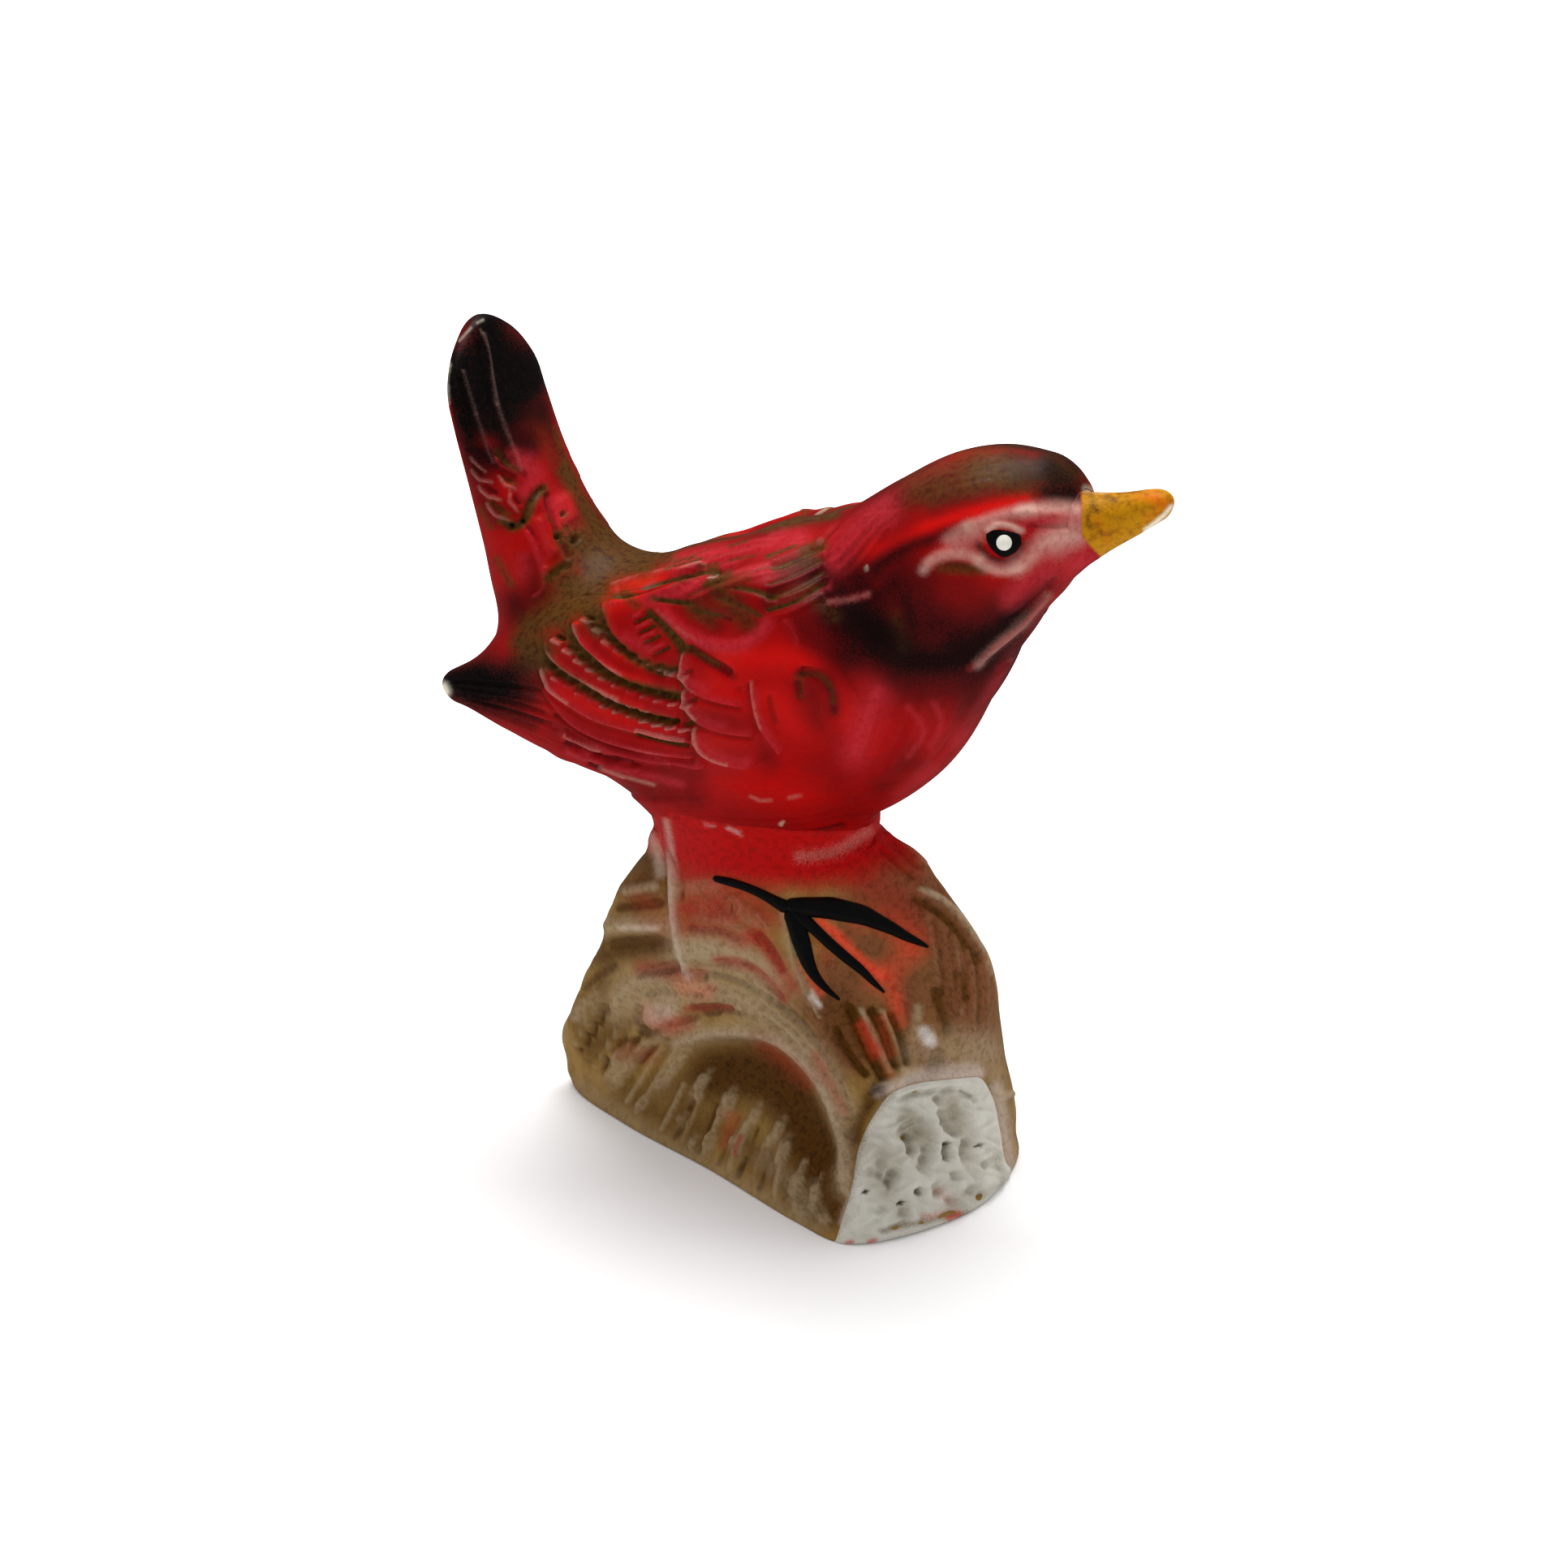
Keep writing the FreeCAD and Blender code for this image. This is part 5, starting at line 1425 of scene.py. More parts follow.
hollow_cuts = [
    (-1.20, 24.0, (858, 1308, 930, 1306, 980, 1345, 1004, 1400, 1015, 1450)),
    (-0.75, 34.0, (880, 1350, 940, 1370, 975, 1420)),
]
flow_lines = (
    (851, 1196, 880, 1200, 912, 1211, 948, 1229, 984, 1257, 1012, 1296, 1037, 1339, 1051, 1379),
    (880, 1186, 923, 1190, 951, 1211, 984, 1243, 1019, 1286, 1051, 1339),
    (866, 1214, 909, 1229, 951, 1250, 987, 1282, 1016, 1321, 1037, 1368, 1044, 1400),
    (858, 1236, 905, 1246, 950, 1264, 985, 1292, 1010, 1328),
    (940, 1226, 978, 1256, 1006, 1292, 1030, 1336, 1046, 1382),
)
for line in flow_lines:
    stump_cuts.append((-0.18, 3.4, line))
stump_cuts += strands(11, 0.16, 3.4, (850, 1180, 905, 1184, 960, 1222, 1010, 1276, 1052, 1342),
                      (850, 1250, 900, 1256, 950, 1280, 1000, 1330, 1034, 1400))
stump_cuts += strands(13, 0.26, 4.4, (742, 1226, 724, 1262, 706, 1292),
                      (836, 1290, 806, 1338, 782, 1376))
stump_cuts += strands(9, 0.16, 4.0, (1140, 1120, 1150, 1170, 1156, 1220),
                      (1212, 1180, 1216, 1230, 1214, 1290))
stump_cuts += strands(15, 0.30, 4.6, (846, 1330, 828, 1370, 812, 1398),
                      (1016, 1440, 1010, 1476, 1006, 1516))
for number, line in enumerate(streaks):
    stump_cuts.append((0.50 + 0.16 * math.sin(1.9 * number), 6.4, line))

# %% Carve the stump
seed_phases = np.random.default_rng(7).uniform(0, 2 * np.pi, (3, 6))


def bark(points):
    """Folds of the far side: the sum of six sines over a sixth, of the direction round the
    axis and of the height, each with its own phase."""
    turn = turn_of(points)
    height = points[..., 2]
    total = 0 * height
    for number, (a, b, c) in enumerate(seed_phases.T):
        bend = 0.9 * np.sin(0.16 * height + a) + 0.05 * height
        wobble = b + 0.8 * np.sin(0.4 * height + c)
        total += np.sin((3 + 2 * number) * (turn + 0.35 * bend) + wobble)
    return total / 6


def stump_view(points, outward):
    """Pixels and seen share of points of the stump."""
    return seen(points), step(*BROAD_SIGHT, facing(points, outward))


underside_rows = 18
stroke_gain = 1.35
fold_height = 0.75
under_depth = 1.4
under_soft = 7
stump_smooth = stump_grid
stump_outward = normals_of(stump_grid)
stump_pixels, stump_share = stump_view(stump_grid, stump_outward)
above_foot = step(0.4, 2.2, stump_grid[..., 2])
stump_fine = stroke_gain * carve(stump_pixels, stump_cuts) * stump_share
stump_height_map = stump_fine + carve(stump_pixels, hollow_cuts) * stump_share
below_top = step(1.0, 0.8, stump_grid[..., 2] / stump_height)
stump_height_map += fold_height * (1 - stump_share) * bark(stump_grid) * below_top
under_outline = (1052, 1490, 1062, 1420, 1086, 1372, 1106, 1352, 1200, 1338, 1210, 1370,
                 1222, 1430, 1226, 1462, 1150, 1500, 1060, 1520)
under_end = inside(stump_pixels, under_outline, under_soft) * stump_share
stump_height_map = stump_height_map * (1 - under_end) - under_depth * under_end
stump_height_map *= above_foot
stump_height_map[:underside_rows] = 0
stump_height_map[-lid_rows:] = 0
stump_grid = stump_grid + stump_outward * stump_height_map[..., None]
print("bark from", round(float(stump_height_map.min()), 2), "to",
      round(float(stump_height_map.max()), 2), "mm")

# %% Shots for the stump
stump_shots = {
    # Dark olive: the bark's own colour, and painted shade down the hollow and in the grooves.
    "olive_and_shade": (
        (0.9, 26, (890, 1330, 950, 1345, 985, 1400)), (0.6, 12, (745, 1162, 790, 1158, 822, 1160)),
        (0.7, 9, (800, 1199, 846, 1196)), (0.5, 14, (800, 1020, 792, 1050)),
        (0.95, 34, (870, 1320, 930, 1325, 972, 1362, 1000, 1425)), (0.9, 24, (1004, 1420, 1012, 1480)),
        (0.7, 26, (790, 1090, 806, 1060)), (0.75, 14, (740, 1180, 790, 1172, 830, 1168)),
        (0.5, 26, (716, 1250, 742, 1215)), (0.6, 16, (730, 1290, 760, 1262)),
        (0.8, 8, (795, 1200, 844, 1193)), (0.7, 6, (788, 1240, 798, 1274, 858, 1253)),
        (0.8, 20, (1028, 1500, 1034, 1450, 1046, 1405)), (0.85, 12, (1050, 1400, 1064, 1370, 1080, 1345)),
        (0.6, 20, (900, 1400, 950, 1440, 1000, 1490)), (0.8, 9, (1044, 1240, 1068, 1290, 1090, 1332)),
        (0.6, 7, (1072, 1244, 1096, 1290, 1106, 1316)), (0.5, 7, (1096, 1250, 1112, 1290)),
        (0.6, 22, (1024, 1240, 1044, 1290)), (0.5, 10, (1236, 1330, 1240, 1440)),
        (0.5, 30, (820, 1350, 860, 1380)), (0.45, 20, (770, 1350, 850, 1410)),
    ),
    "umber": (
        (0.7, 60, (1110, 1090, 1160, 1150, 1185, 1210)), (0.6, 26, (1040, 1200, 1060, 1290)),
        (0.4, 30, (930, 1300, 980, 1350)), (0.5, 20, (770, 1110, 800, 1080)),
        (0.4, 16, (800, 1180, 830, 1190)), (0.7, 10, (1132, 1292, 1166, 1314)),
        (0.9, 46, (1120, 1085, 1165, 1140, 1190, 1200)), (0.8, 34, (1085, 1050, 1110, 1085)),
        (0.75, 30, (1060, 1090, 1090, 1120)), (0.6, 30, (1180, 1230, 1200, 1270)),
        (0.9, 15, (1142, 1306, 1162, 1314)), (0.6, 34, (1190, 1230, 1216, 1290)),
        (0.85, 26, (1046, 1150, 1090, 1185, 1112, 1240)), (0.8, 26, (1012, 1236, 1050, 1300)),
        (0.5, 40, (1150, 1080, 1215, 1200)), (0.7, 36, (1000, 1226, 1030, 1290)),
        (0.65, 34, (1108, 1206, 1130, 1284)), (0.5, 30, (1170, 1250, 1214, 1300)),
        (0.7, 18, (1020, 1190, 1040, 1230)), (0.6, 16, (1050, 1200, 1070, 1240)),
        (0.5, 30, (930, 1300, 975, 1340)), (0.5, 24, (800, 1100, 812, 1080)),
        (0.6, 16, (1060, 1270, 1070, 1300)),
    ),
    # Pale grey-beige: the bark's own streaks, and painted highlight along raised ridges such as the arch
    # and the seam.
    "beige_and_highlight": (
        (0.5, 22, (1126, 1296, 1170, 1302, 1216, 1300)),
        (0.6, 14, (1228, 1330, 1238, 1390, 1243, 1440, 1239, 1476)),
        (0.75, 30, (860, 1170, 905, 1180, 950, 1216)), (0.5, 9, (842, 1092, 884, 1100)),
        (0.55, 36, (780, 1228, 820, 1222)), (0.45, 16, (715, 1340, 800, 1400, 900, 1455, 1000, 1512)),
        (0.45, 24, (1180, 1284, 1214, 1290)), (0.35, 5, (1140, 1097, 1170, 1116, 1200, 1150, 1219, 1184)),
        (0.65, 14, arch_line),
        (0.8, 20, (850, 1214, 890, 1226, 935, 1246, 978, 1278, 1012, 1320, 1036, 1365)),
        (0.7, 22, (850, 1170, 900, 1176, 945, 1200)), (0.9, 7, seam_line),
        (0.8, 12, (745, 1142, 787, 1139, 822, 1142)), (0.9, 17, (806, 1252, 822, 1246)),
        (0.75, 10, (758, 1250, 766, 1226, 785, 1210, 812, 1204)),
        (0.55, 7, (751, 1332, 773, 1307, 805, 1283, 834, 1265)), (0.6, 9, (850, 1086, 880, 1090)),
        (0.5, 12, (870, 1130, 900, 1120, 930, 1135)),
        (0.6, 6, (964, 1125, 971, 1152, 980, 1189, 1002, 1236)), (0.4, 26, (790, 1225, 830, 1215)),
        (0.5, 10, (812, 1018, 806, 1045)), (0.4, 14, (940, 1430, 1000, 1480)),
    ) + tuple((0.35, 5, line) for line in streaks),
    "rust": (
        (0.5, 30, (1060, 1080, 1100, 1110, 1120, 1150)), (0.6, 14, (885, 1118, 905, 1130)),
        (0.4, 16, (1000, 1140, 1020, 1180)), (0.5, 14, (842, 1122, 882, 1126)),
        (0.35, 14, (770, 1296, 800, 1300)), (0.5, 6, (930, 1150, 948, 1176, 962, 1196)),
        (0.95, 24, (838, 1050, 880, 1058, 930, 1072, 990, 1072, 1036, 1056)),
        (0.9, 16, (846, 1078, 872, 1070)), (0.7, 24, (852, 1112, 900, 1100, 945, 1130)),
        (0.55, 14, (846, 1143, 880, 1146, 915, 1160)), (0.6, 12, (925, 1150, 955, 1180, 975, 1215)),
        (0.6, 8, (884, 1183, 930, 1196, 965, 1232)), (0.5, 12, (790, 1192, 835, 1198, 860, 1200)),
        (0.55, 6, (846, 1243, 900, 1243)), (0.5, 18, (1000, 1088, 1060, 1080)),
        (0.35, 20, (790, 1110, 815, 1140)), (0.4, 6, (1080, 1290, 1098, 1326)),
        (0.4, 14, (1100, 1040, 1130, 1075)), (0.45, 20, (940, 1290, 990, 1330)),
        (0.6, 3, (916, 1400, 908, 1424)), (0.4, 7, (1004, 1300, 1040, 1370)),
        (0.5, 8, (1066, 1262, 1080, 1290)), (0.4, 12, (806, 1262, 850, 1262)),
    ),
    "blaze": (
        (0.9, 8, (1010, 1135, 1030, 1152, 1052, 1176, 1084, 1202)),
        (0.35, 20, (1080, 1208, 1104, 1192, 1120, 1174)), (0.4, 20, (1060, 1130, 1100, 1140, 1124, 1160)),
        (0.35, 8, (1104, 1228, 1112, 1262)), (0.35, 7, (998, 1196, 1010, 1222)),
        (0.45, 7, (1060, 1262, 1078, 1300)), (0.35, 14, (1094, 1200, 1104, 1240)),
        (0.3, 12, (990, 1186, 1010, 1216)), (0.3, 7, (1086, 1256, 1100, 1300)),
        (0.3, 16, (800, 1250, 830, 1262)), (0.3, 14, (840, 1216, 870, 1222)),
        (0.25, 10, (900, 1376, 894, 1410)),
    ),
    # Pale paint on the seam, and painted highlights on raised ridges and on the crease under the belly.
    "pale_paint_and_highlight": (
        (0.4, 5, seam_line), (0.22, 7, arch_line), (0.45, 14, (806, 1252, 820, 1247)),
        (0.4, 7, (806, 1030, 813, 1076)), (0.8, 8, (1084, 1345, 1120, 1332, 1160, 1326, 1206, 1322)),
        (0.7, 8, (1138, 1274, 1146, 1284)), (0.4, 9, (1120, 1322, 1200, 1314)),
        (0.5, 8, (1230, 1340, 1240, 1400, 1246, 1440, 1240, 1474)), (0.7, 6, (1050, 1476, 1040, 1506)),
        (0.6, 4, (1000, 1222, 1010, 1240)), (0.2, 4, (1140, 1097, 1170, 1116, 1200, 1150, 1219, 1184)),
        (0.2, 9, (985, 1056, 1006, 1054, 1032, 1048, 1056, 1034, 1070, 1024)),
        (0.5, 5, (772, 1142, 812, 1142)),
    ),
    "scarlet": (
        (0.95, 22, (840, 1030, 900, 1040, 960, 1042, 1020, 1032)), (0.7, 16, (846, 1064, 880, 1064)),
        (0.5, 14, (900, 1078, 960, 1090)),
    ),
    "soot": (
        (0.5, 3, (869, 1203, 872, 1207)), (0.5, 8, (1078, 1336, 1088, 1350)),
        (0.4, 5, (795, 1201, 842, 1195)),
    ),
    "bare": (
        (0.7, 8, (1139, 1272, 1146, 1282)), (0.4, 3, (1000, 1228, 1010, 1238)),
        (0.25, 2.4, (868, 1016, 880, 1017)), (0.3, 3, (896, 1020, 912, 1027)),
    ),
}


def stump_colours(grid, pixels, share):
    """Cover of each colour on the stump. The far side takes dark olive in the troughs of its folds, a
    painted shade, and pale beige on their crests, a painted highlight.
    """
    paints = {colour: spray(pixels, shots) * share for colour, shots in stump_shots.items()}
    folds = bark(grid)
    at_least(paints, "olive_and_shade", (1 - share) * np.clip(0.35 - folds, 0, 0.9))
    at_least(paints, "beige_and_highlight", (1 - share) * np.clip(folds * 1.3, 0, 0.8))
    at_least(paints, "rust", (1 - share) * step(0.74, 0.9, grid[..., 2] / stump_height))
    return paints


stump_paint = stump_colours(stump_smooth, stump_pixels, stump_share)
# Low bark takes dark olive as painted shade, raised bark pale beige as painted highlight.
by_height(stump_paint, stump_fine, (("olive_and_shade", -0.03, -0.30, 0.85), ("beige_and_highlight", 0.06, 0.40, 0.70)))
leg_pixels, leg_share = stump_view(leg_grid, normals_of(leg_grid))
leg_paint = stump_colours(leg_grid, leg_pixels, leg_share)
red_heights = (33.0, 36.5)
red_lean = 0.06
for paints, spots in ((leg_paint, leg_grid), (stump_paint, stump_smooth)):
    red = step(*red_heights, spots[..., 2] - red_lean * spots[..., 0])
    at_least(paints, "scarlet", red)
print("stump's colours:", ", ".join(stump_shots))

# %% [markdown]
# ## Pieces
# Torso and head share the body's grid and part at the neck. Every other form is a piece.

# %% Torso and head
neck_share = 0.665
body_rows = body.even(body_stations)
neck_row = int(np.abs(body_rows - neck_share * body.length).argmin())
body_middle = body.at(body_rows, body.centre)[:, None]
sink = np.array((0.0, 0.02, 0.3, 1.5))


def parted(grid, values, first, last):
    """The rows of a body grid from first to last. At a cut the rows past it sink slowly
    under the neighbour's skin, so the two shades meet, and then close in the middle."""
    rows = np.arange(max(first - 3, 0), min(last + 4, len(grid)))
    past = np.maximum(np.maximum(first - rows, rows - last), 0)
    piece = grid[rows] - body_outward[rows] * sink[past][:, None, None]
    if rows[0] > 0:
        piece = np.vstack((body_middle[rows[:1]] + 0 * piece[:1], piece))
        taken = np.concatenate((rows[:1], rows))
    else:
        piece = np.vstack((piece, body_middle[rows[-1:]] + 0 * piece[:1]))
        taken = np.concatenate((rows, rows[-1:]))
    return piece, {name: value[taken] for name, value in values.items()}


body_outward = normals_of(body_grid)
piece, values = parted(body_grid, body_paint, 0, neck_row)
make_piece("torso_skin", [piece], values, ("torso",))
piece, values = parted(body_grid, body_paint, neck_row, len(body_grid) - 1)
make_piece("head_skin", [piece], values, ("head",))

# %% Beak, tail, legs and wings
make_piece("beak_skin", [beak_grid], beak_paint, ("beak",))
make_piece("tail_skin", [tail_grid], tail_paint, ("tail",))
make_piece("leg_skin", [leg_grid], leg_paint, ("leg_pillar",))
make_piece("right_wing_skin", [wing_grid], wing_paint, ("right_wing",))
far_paint = {name: value[:, ::-1] for name, value in wing_paint.items()}
make_piece("left_wing_skin", [mirrored(wing_grid)], far_paint, ("left_wing",))

# %% Stump
make_piece("stump_skin", [stump_grid], stump_paint, ("stump",))

# %% [markdown]
# ## The cut end of the log
# The pale end is a patch that lies on the stump's skin. Its outline is drawn on the
# stump as directions and heights, and its skin is rings that grow from the middle to the
# outline, as the outline's own shape made smaller.

# %% Patch of the cut end
end_radius = 17  # millimetres that a radian of direction takes up on the end's outline
rim_share = 0.94
rim_width = 0.07
end_rise = 0.28
end_sink = 0.04
end_left = np.array([(1047, 1474), (1053, 1440), (1060, 1409), (1078, 1372), (1099, 1346)], float)
end_top = np.array([(1120, 1337), (1155, 1331), (1185, 1328), (1208, 1329)], float)
end_right = np.array([(1221, 1350), (1231, 1392), (1241, 1436)], float)


def on_stump(pixels):
    """Directions round the stump's axis and heights of the places seen at pixels."""
    spots = cast(pixels)
    return np.column_stack((turn_of(spots), spots[:, 2]))


edge = np.vstack((on_stump(end_left), on_stump(end_top), on_stump(end_right)))
foot_left = np.array(((edge[0, 0] - 0.06, 0.9), (edge[0, 0] - 0.075, 0.0)))
foot_right = np.array(((edge[-1, 0] + 0.02, 0.9), (edge[-1, 0], 0.0)))
outline = np.vstack((foot_left[::-1], edge, foot_right))
run = travelled(outline * (end_radius, 1))
side_line = flow(run, outline, np.linspace(0, run[-1], count(300)))
bottom = np.linspace(outline[-1], outline[0], count(110))[1:-1]
loop = np.vstack((side_line, bottom))[::-1]
end_middle = np.array((loop[:, 0].mean(), 0.45 * loop[:, 1].max()))


def stump_place(turn, height, lift):
    """Places on the stump's own skin, lifted square to it in the level."""
    out = stump.radius(wrap(turn), height) - drawn_in(height) + lift
    x = stump_axis[0] + out * np.cos(turn)
    y = stump_axis[1] + out * np.sin(turn)
    return np.stack((x, y, np.maximum(height, 0)), -1)


shares = np.concatenate((np.linspace(0, rim_share, count(120)), np.linspace(0.945, 1.0, 8)))
spread = end_middle + shares[:, None, None] * (loop - end_middle)
past_rim = ((shares - rim_share) / rim_width).clip(0, 1)
end_lift = end_rise * np.sqrt(np.maximum(1 - past_rim**2, 0)) - end_sink
end_grid = stump_place(spread[..., 0], spread[..., 1], end_lift[:, None])
end_grid[..., 2] = np.maximum(end_grid[..., 2], 0.02)
print("rings of the cut end:", len(end_grid), "with", len(loop), "points each")

# %% Cuts in the cut end
end_cuts = [
    (-0.34, 3.4, (1100, 1358, 1117, 1350, 1143, 1346, 1158, 1345, 1169, 1341, 1186, 1345, 1200, 1352,
                  1206, 1360)),
    (0.26, 6.0, (1092, 1352, 1104, 1343, 1121, 1338, 1147, 1334, 1176, 1332, 1198, 1334, 1211, 1346)),
    (-0.60, 4.0, (1157, 1347, 1160, 1368, 1163, 1378, 1171, 1390, 1184, 1402)),
    (0.40, 6.0, (1151, 1352, 1153, 1368, 1151, 1386, 1153, 1405, 1152, 1436)),
    (-0.62, 12.0, (1120, 1376, 1130, 1392, 1138, 1402)), (-0.55, 12.0, (1174, 1358, 1184, 1386)),
    (-0.30, 4.0, (1110, 1372, 1114, 1392, 1120, 1408)), (-0.70, 4.4, (1121, 1394, 1123, 1428)),
    (-0.65, 4.4, (1145, 1408, 1138, 1434, 1132, 1447)), (-0.75, 4.4, (1165, 1405, 1167, 1434)),
    (-0.70, 4.4, (1197, 1400, 1189, 1427, 1195, 1435)), (-0.80, 5.0, (1108, 1436, 1099, 1452, 1095, 1467)),
    (-0.50, 4.0, (1084, 1423, 1086, 1438, 1083, 1456)), (-0.36, 4.0, (1073, 1436, 1070, 1452)),
    (-0.50, 4.0, (1176, 1441, 1178, 1457)), (-0.70, 3.6, (1131, 1462, 1132, 1474)),
    (-0.90, 3.0, (1110, 1481, 1111, 1484)), (-0.80, 2.8, (1066, 1467, 1067, 1470)),
    (-0.55, 5.0, (1117, 1486, 1115, 1502)), (-0.45, 5.0, (1198, 1456, 1196, 1476)),
    (-0.40, 5.0, (1213, 1427, 1209, 1444)), (-0.60, 2.8, (1168, 1408, 1169, 1411)),
    (-0.60, 2.8, (1207, 1410, 1208, 1412)), (-0.45, 5.0, (1150, 1456, 1158, 1478)),
    (-0.35, 5.0, (1212, 1464, 1206, 1482)), (-0.40, 5.0, (1090, 1484, 1084, 1500)),
    (-0.35, 5.0, (1174, 1474, 1172, 1490)), (0.40, 6.0, (1091, 1394, 1098, 1420, 1091, 1447)),
    (0.40, 6.0, (1110, 1405, 1117, 1431, 1126, 1453, 1124, 1475)),
    (0.40, 6.0, (1176, 1409, 1178, 1431, 1185, 1449, 1184, 1475)),
    (0.36, 5.0, (1203, 1412, 1206, 1434, 1199, 1450)),
    (0.36, 6.0, (1080, 1394, 1072, 1420, 1060, 1449, 1057, 1475)),
    (0.34, 6.0, (1140, 1446, 1144, 1478, 1136, 1496)),
    (-0.36, 4.0, (1080, 1520, 1110, 1511, 1137, 1506, 1165, 1499, 1204, 1492)),
    (0.30, 5.0, (1078, 1527, 1110, 1518, 1138, 1513, 1168, 1505, 1206, 1499)),
    (0.36, 7.0, (1050, 1493, 1054, 1520)), (0.34, 7.0, (1222, 1440, 1226, 1470)),
]
end_smooth = end_grid
end_pixels = seen(end_smooth)
end_across, end_down = end_pixels[..., 0], end_pixels[..., 1]
worn = [(rise, 1.5 * width, line) for rise, width, line in end_cuts]
# Low bumps over the end: one sine of the pixels across times one of those down, each
# bent by a sine of the other.
hammered = np.sin(end_across / 5.1 + 1.7 * np.sin(end_down / 6.3))
hammered *= np.sin(end_down / 4.6 + 1.3 * np.sin(end_across / 7.7))
end_gain = 1.5
bump_height = 0.24
end_height = end_gain * carve(end_pixels, worn) + bump_height * hammered
end_height *= step(1.0, 0.90, shares)[:, None] * step(0.1, 1.2, end_grid[..., 2])
end_outward = downhill(end_smooth.reshape(-1, 3), stump.distance).reshape(end_smooth.shape)
end_grid = end_smooth + end_outward * end_height[..., None]
end_grid[..., 2] = np.maximum(end_grid[..., 2], 0.02)
end_shots = {
    # Grey grime, and painted shade in the deepest hollows of the cut end.
    "hollow_grime_and_shade": (
        (0.8, 14, (1120, 1376, 1130, 1392, 1138, 1402)), (0.75, 14, (1174, 1358, 1184, 1386)),
        (0.5, 16, (1100, 1430, 1094, 1470)), (0.4, 12, (1196, 1400, 1190, 1434)),
        (0.5, 12, (1112, 1490, 1116, 1504)), (0.4, 18, (1080, 1420, 1074, 1450)),
        (0.35, 18, (1196, 1470, 1176, 1488)), (0.3, 14, (1140, 1420, 1136, 1440)),
    ),
    "pit": (
        (0.9, 2.6, (1110, 1481, 1111, 1484)), (0.9, 2.4, (1066, 1467, 1067, 1470)),
        (0.7, 2.4, (1168, 1408, 1169, 1411)), (0.6, 2.4, (1207, 1410, 1208, 1412)),
        (0.5, 3, (1098, 1456, 1095, 1466)), (0.5, 3, (1131, 1464, 1132, 1472)),
        (0.5, 2, (1186, 1344, 1200, 1351)), (0.5, 3, (1166, 1410, 1167, 1430)),
    ),
    # Dark olive along the end's edge, and painted shade in the groove at its foot.
    "olive_and_shade": (
        (0.5, 4, (1090, 1517, 1110, 1511, 1137, 1506, 1165, 1499, 1204, 1493)),
        (0.6, 9, (1042, 1476, 1050, 1440, 1060, 1405)), (0.35, 10, (1028, 1520, 1040, 1500)),
        (0.4, 7, (1062, 1400, 1080, 1368, 1098, 1350)), (0.35, 8, (1232, 1460, 1228, 1420)),
        (0.3, 6, (1120, 1394, 1123, 1426)),
    ),
    "rust": (
        (0.8, 6, (1170, 1500, 1182, 1496)), (0.7, 3.4, (1044, 1531, 1050, 1530)),
        (0.7, 3.4, (1070, 1530, 1078, 1528)), (0.4, 6, (1140, 1500, 1160, 1496)),
        (0.3, 10, (1160, 1470, 1172, 1480)), (0.4, 4, (1170, 1510, 1190, 1504)),
    ),
}
end_paint = {colour: spray(end_pixels, shots) for colour, shots in end_shots.items()}
# The lower the end's relief, the greyer it is: painted shade in its hollows.
by_height(end_paint, end_height, (("hollow_grime_and_shade", 0.0, -1.3, 0.6),))
for colour, cover in end_paint.items():
    end_paint[colour] = np.vstack((cover, cover[-1:], cover[-1:]))
end_back = np.append(stump_axis, 5.0)
inner = end_grid[-1:] * 0.5 + end_back * 0.5
end_grid = np.concatenate((end_grid, inner, end_back + 0 * inner))
make_piece("log_end_skin", [end_grid], end_paint, ("log_end",))

# %% [markdown]
# ## Toes and eyes
# These are thick paint on the skin: beads along brush strokes for the toes, and flat
# domes for the eyes. Both are drawn in the view and cast onto the skin.

# %% Beads
toe_strokes = (
    ((879, 1082, 3.6), (897, 1086, 5.0), (917, 1092, 5.2), (938, 1101, 5.6), (958, 1112, 7.0),
     (973, 1120, 9.0)),
    ((966, 1115, 7.0), (984, 1117, 10.5), (1005, 1118, 11.5), (1023, 1119, 12.5),
     (1043, 1123, 12.0), (1064, 1128, 11.0), (1082, 1136, 9.0), (1099, 1144, 7.2),
     (1117, 1154, 5.4), (1132, 1161, 3.6), (1144, 1167, 1.5)),
    ((976, 1122, 9.0), (988, 1131, 8.0), (1005, 1146, 6.6), (1023, 1163, 6.2), (1044, 1181, 5.8),
     (1061, 1195, 5.0), (1076, 1210, 3.6), (1090, 1223, 1.4)),
    ((972, 1120, 10.0), (980, 1138, 10.5), (986, 1156, 11.0), (991, 1172, 10.0), (997, 1189, 8.0),
     (1007, 1206, 5.6), (1019, 1219, 3.8), (1035, 1232, 1.4)),
)
toe_height = 0.62
toe_depth = 0.45
foot_shift = (-4.0, 6.0, 0.0)


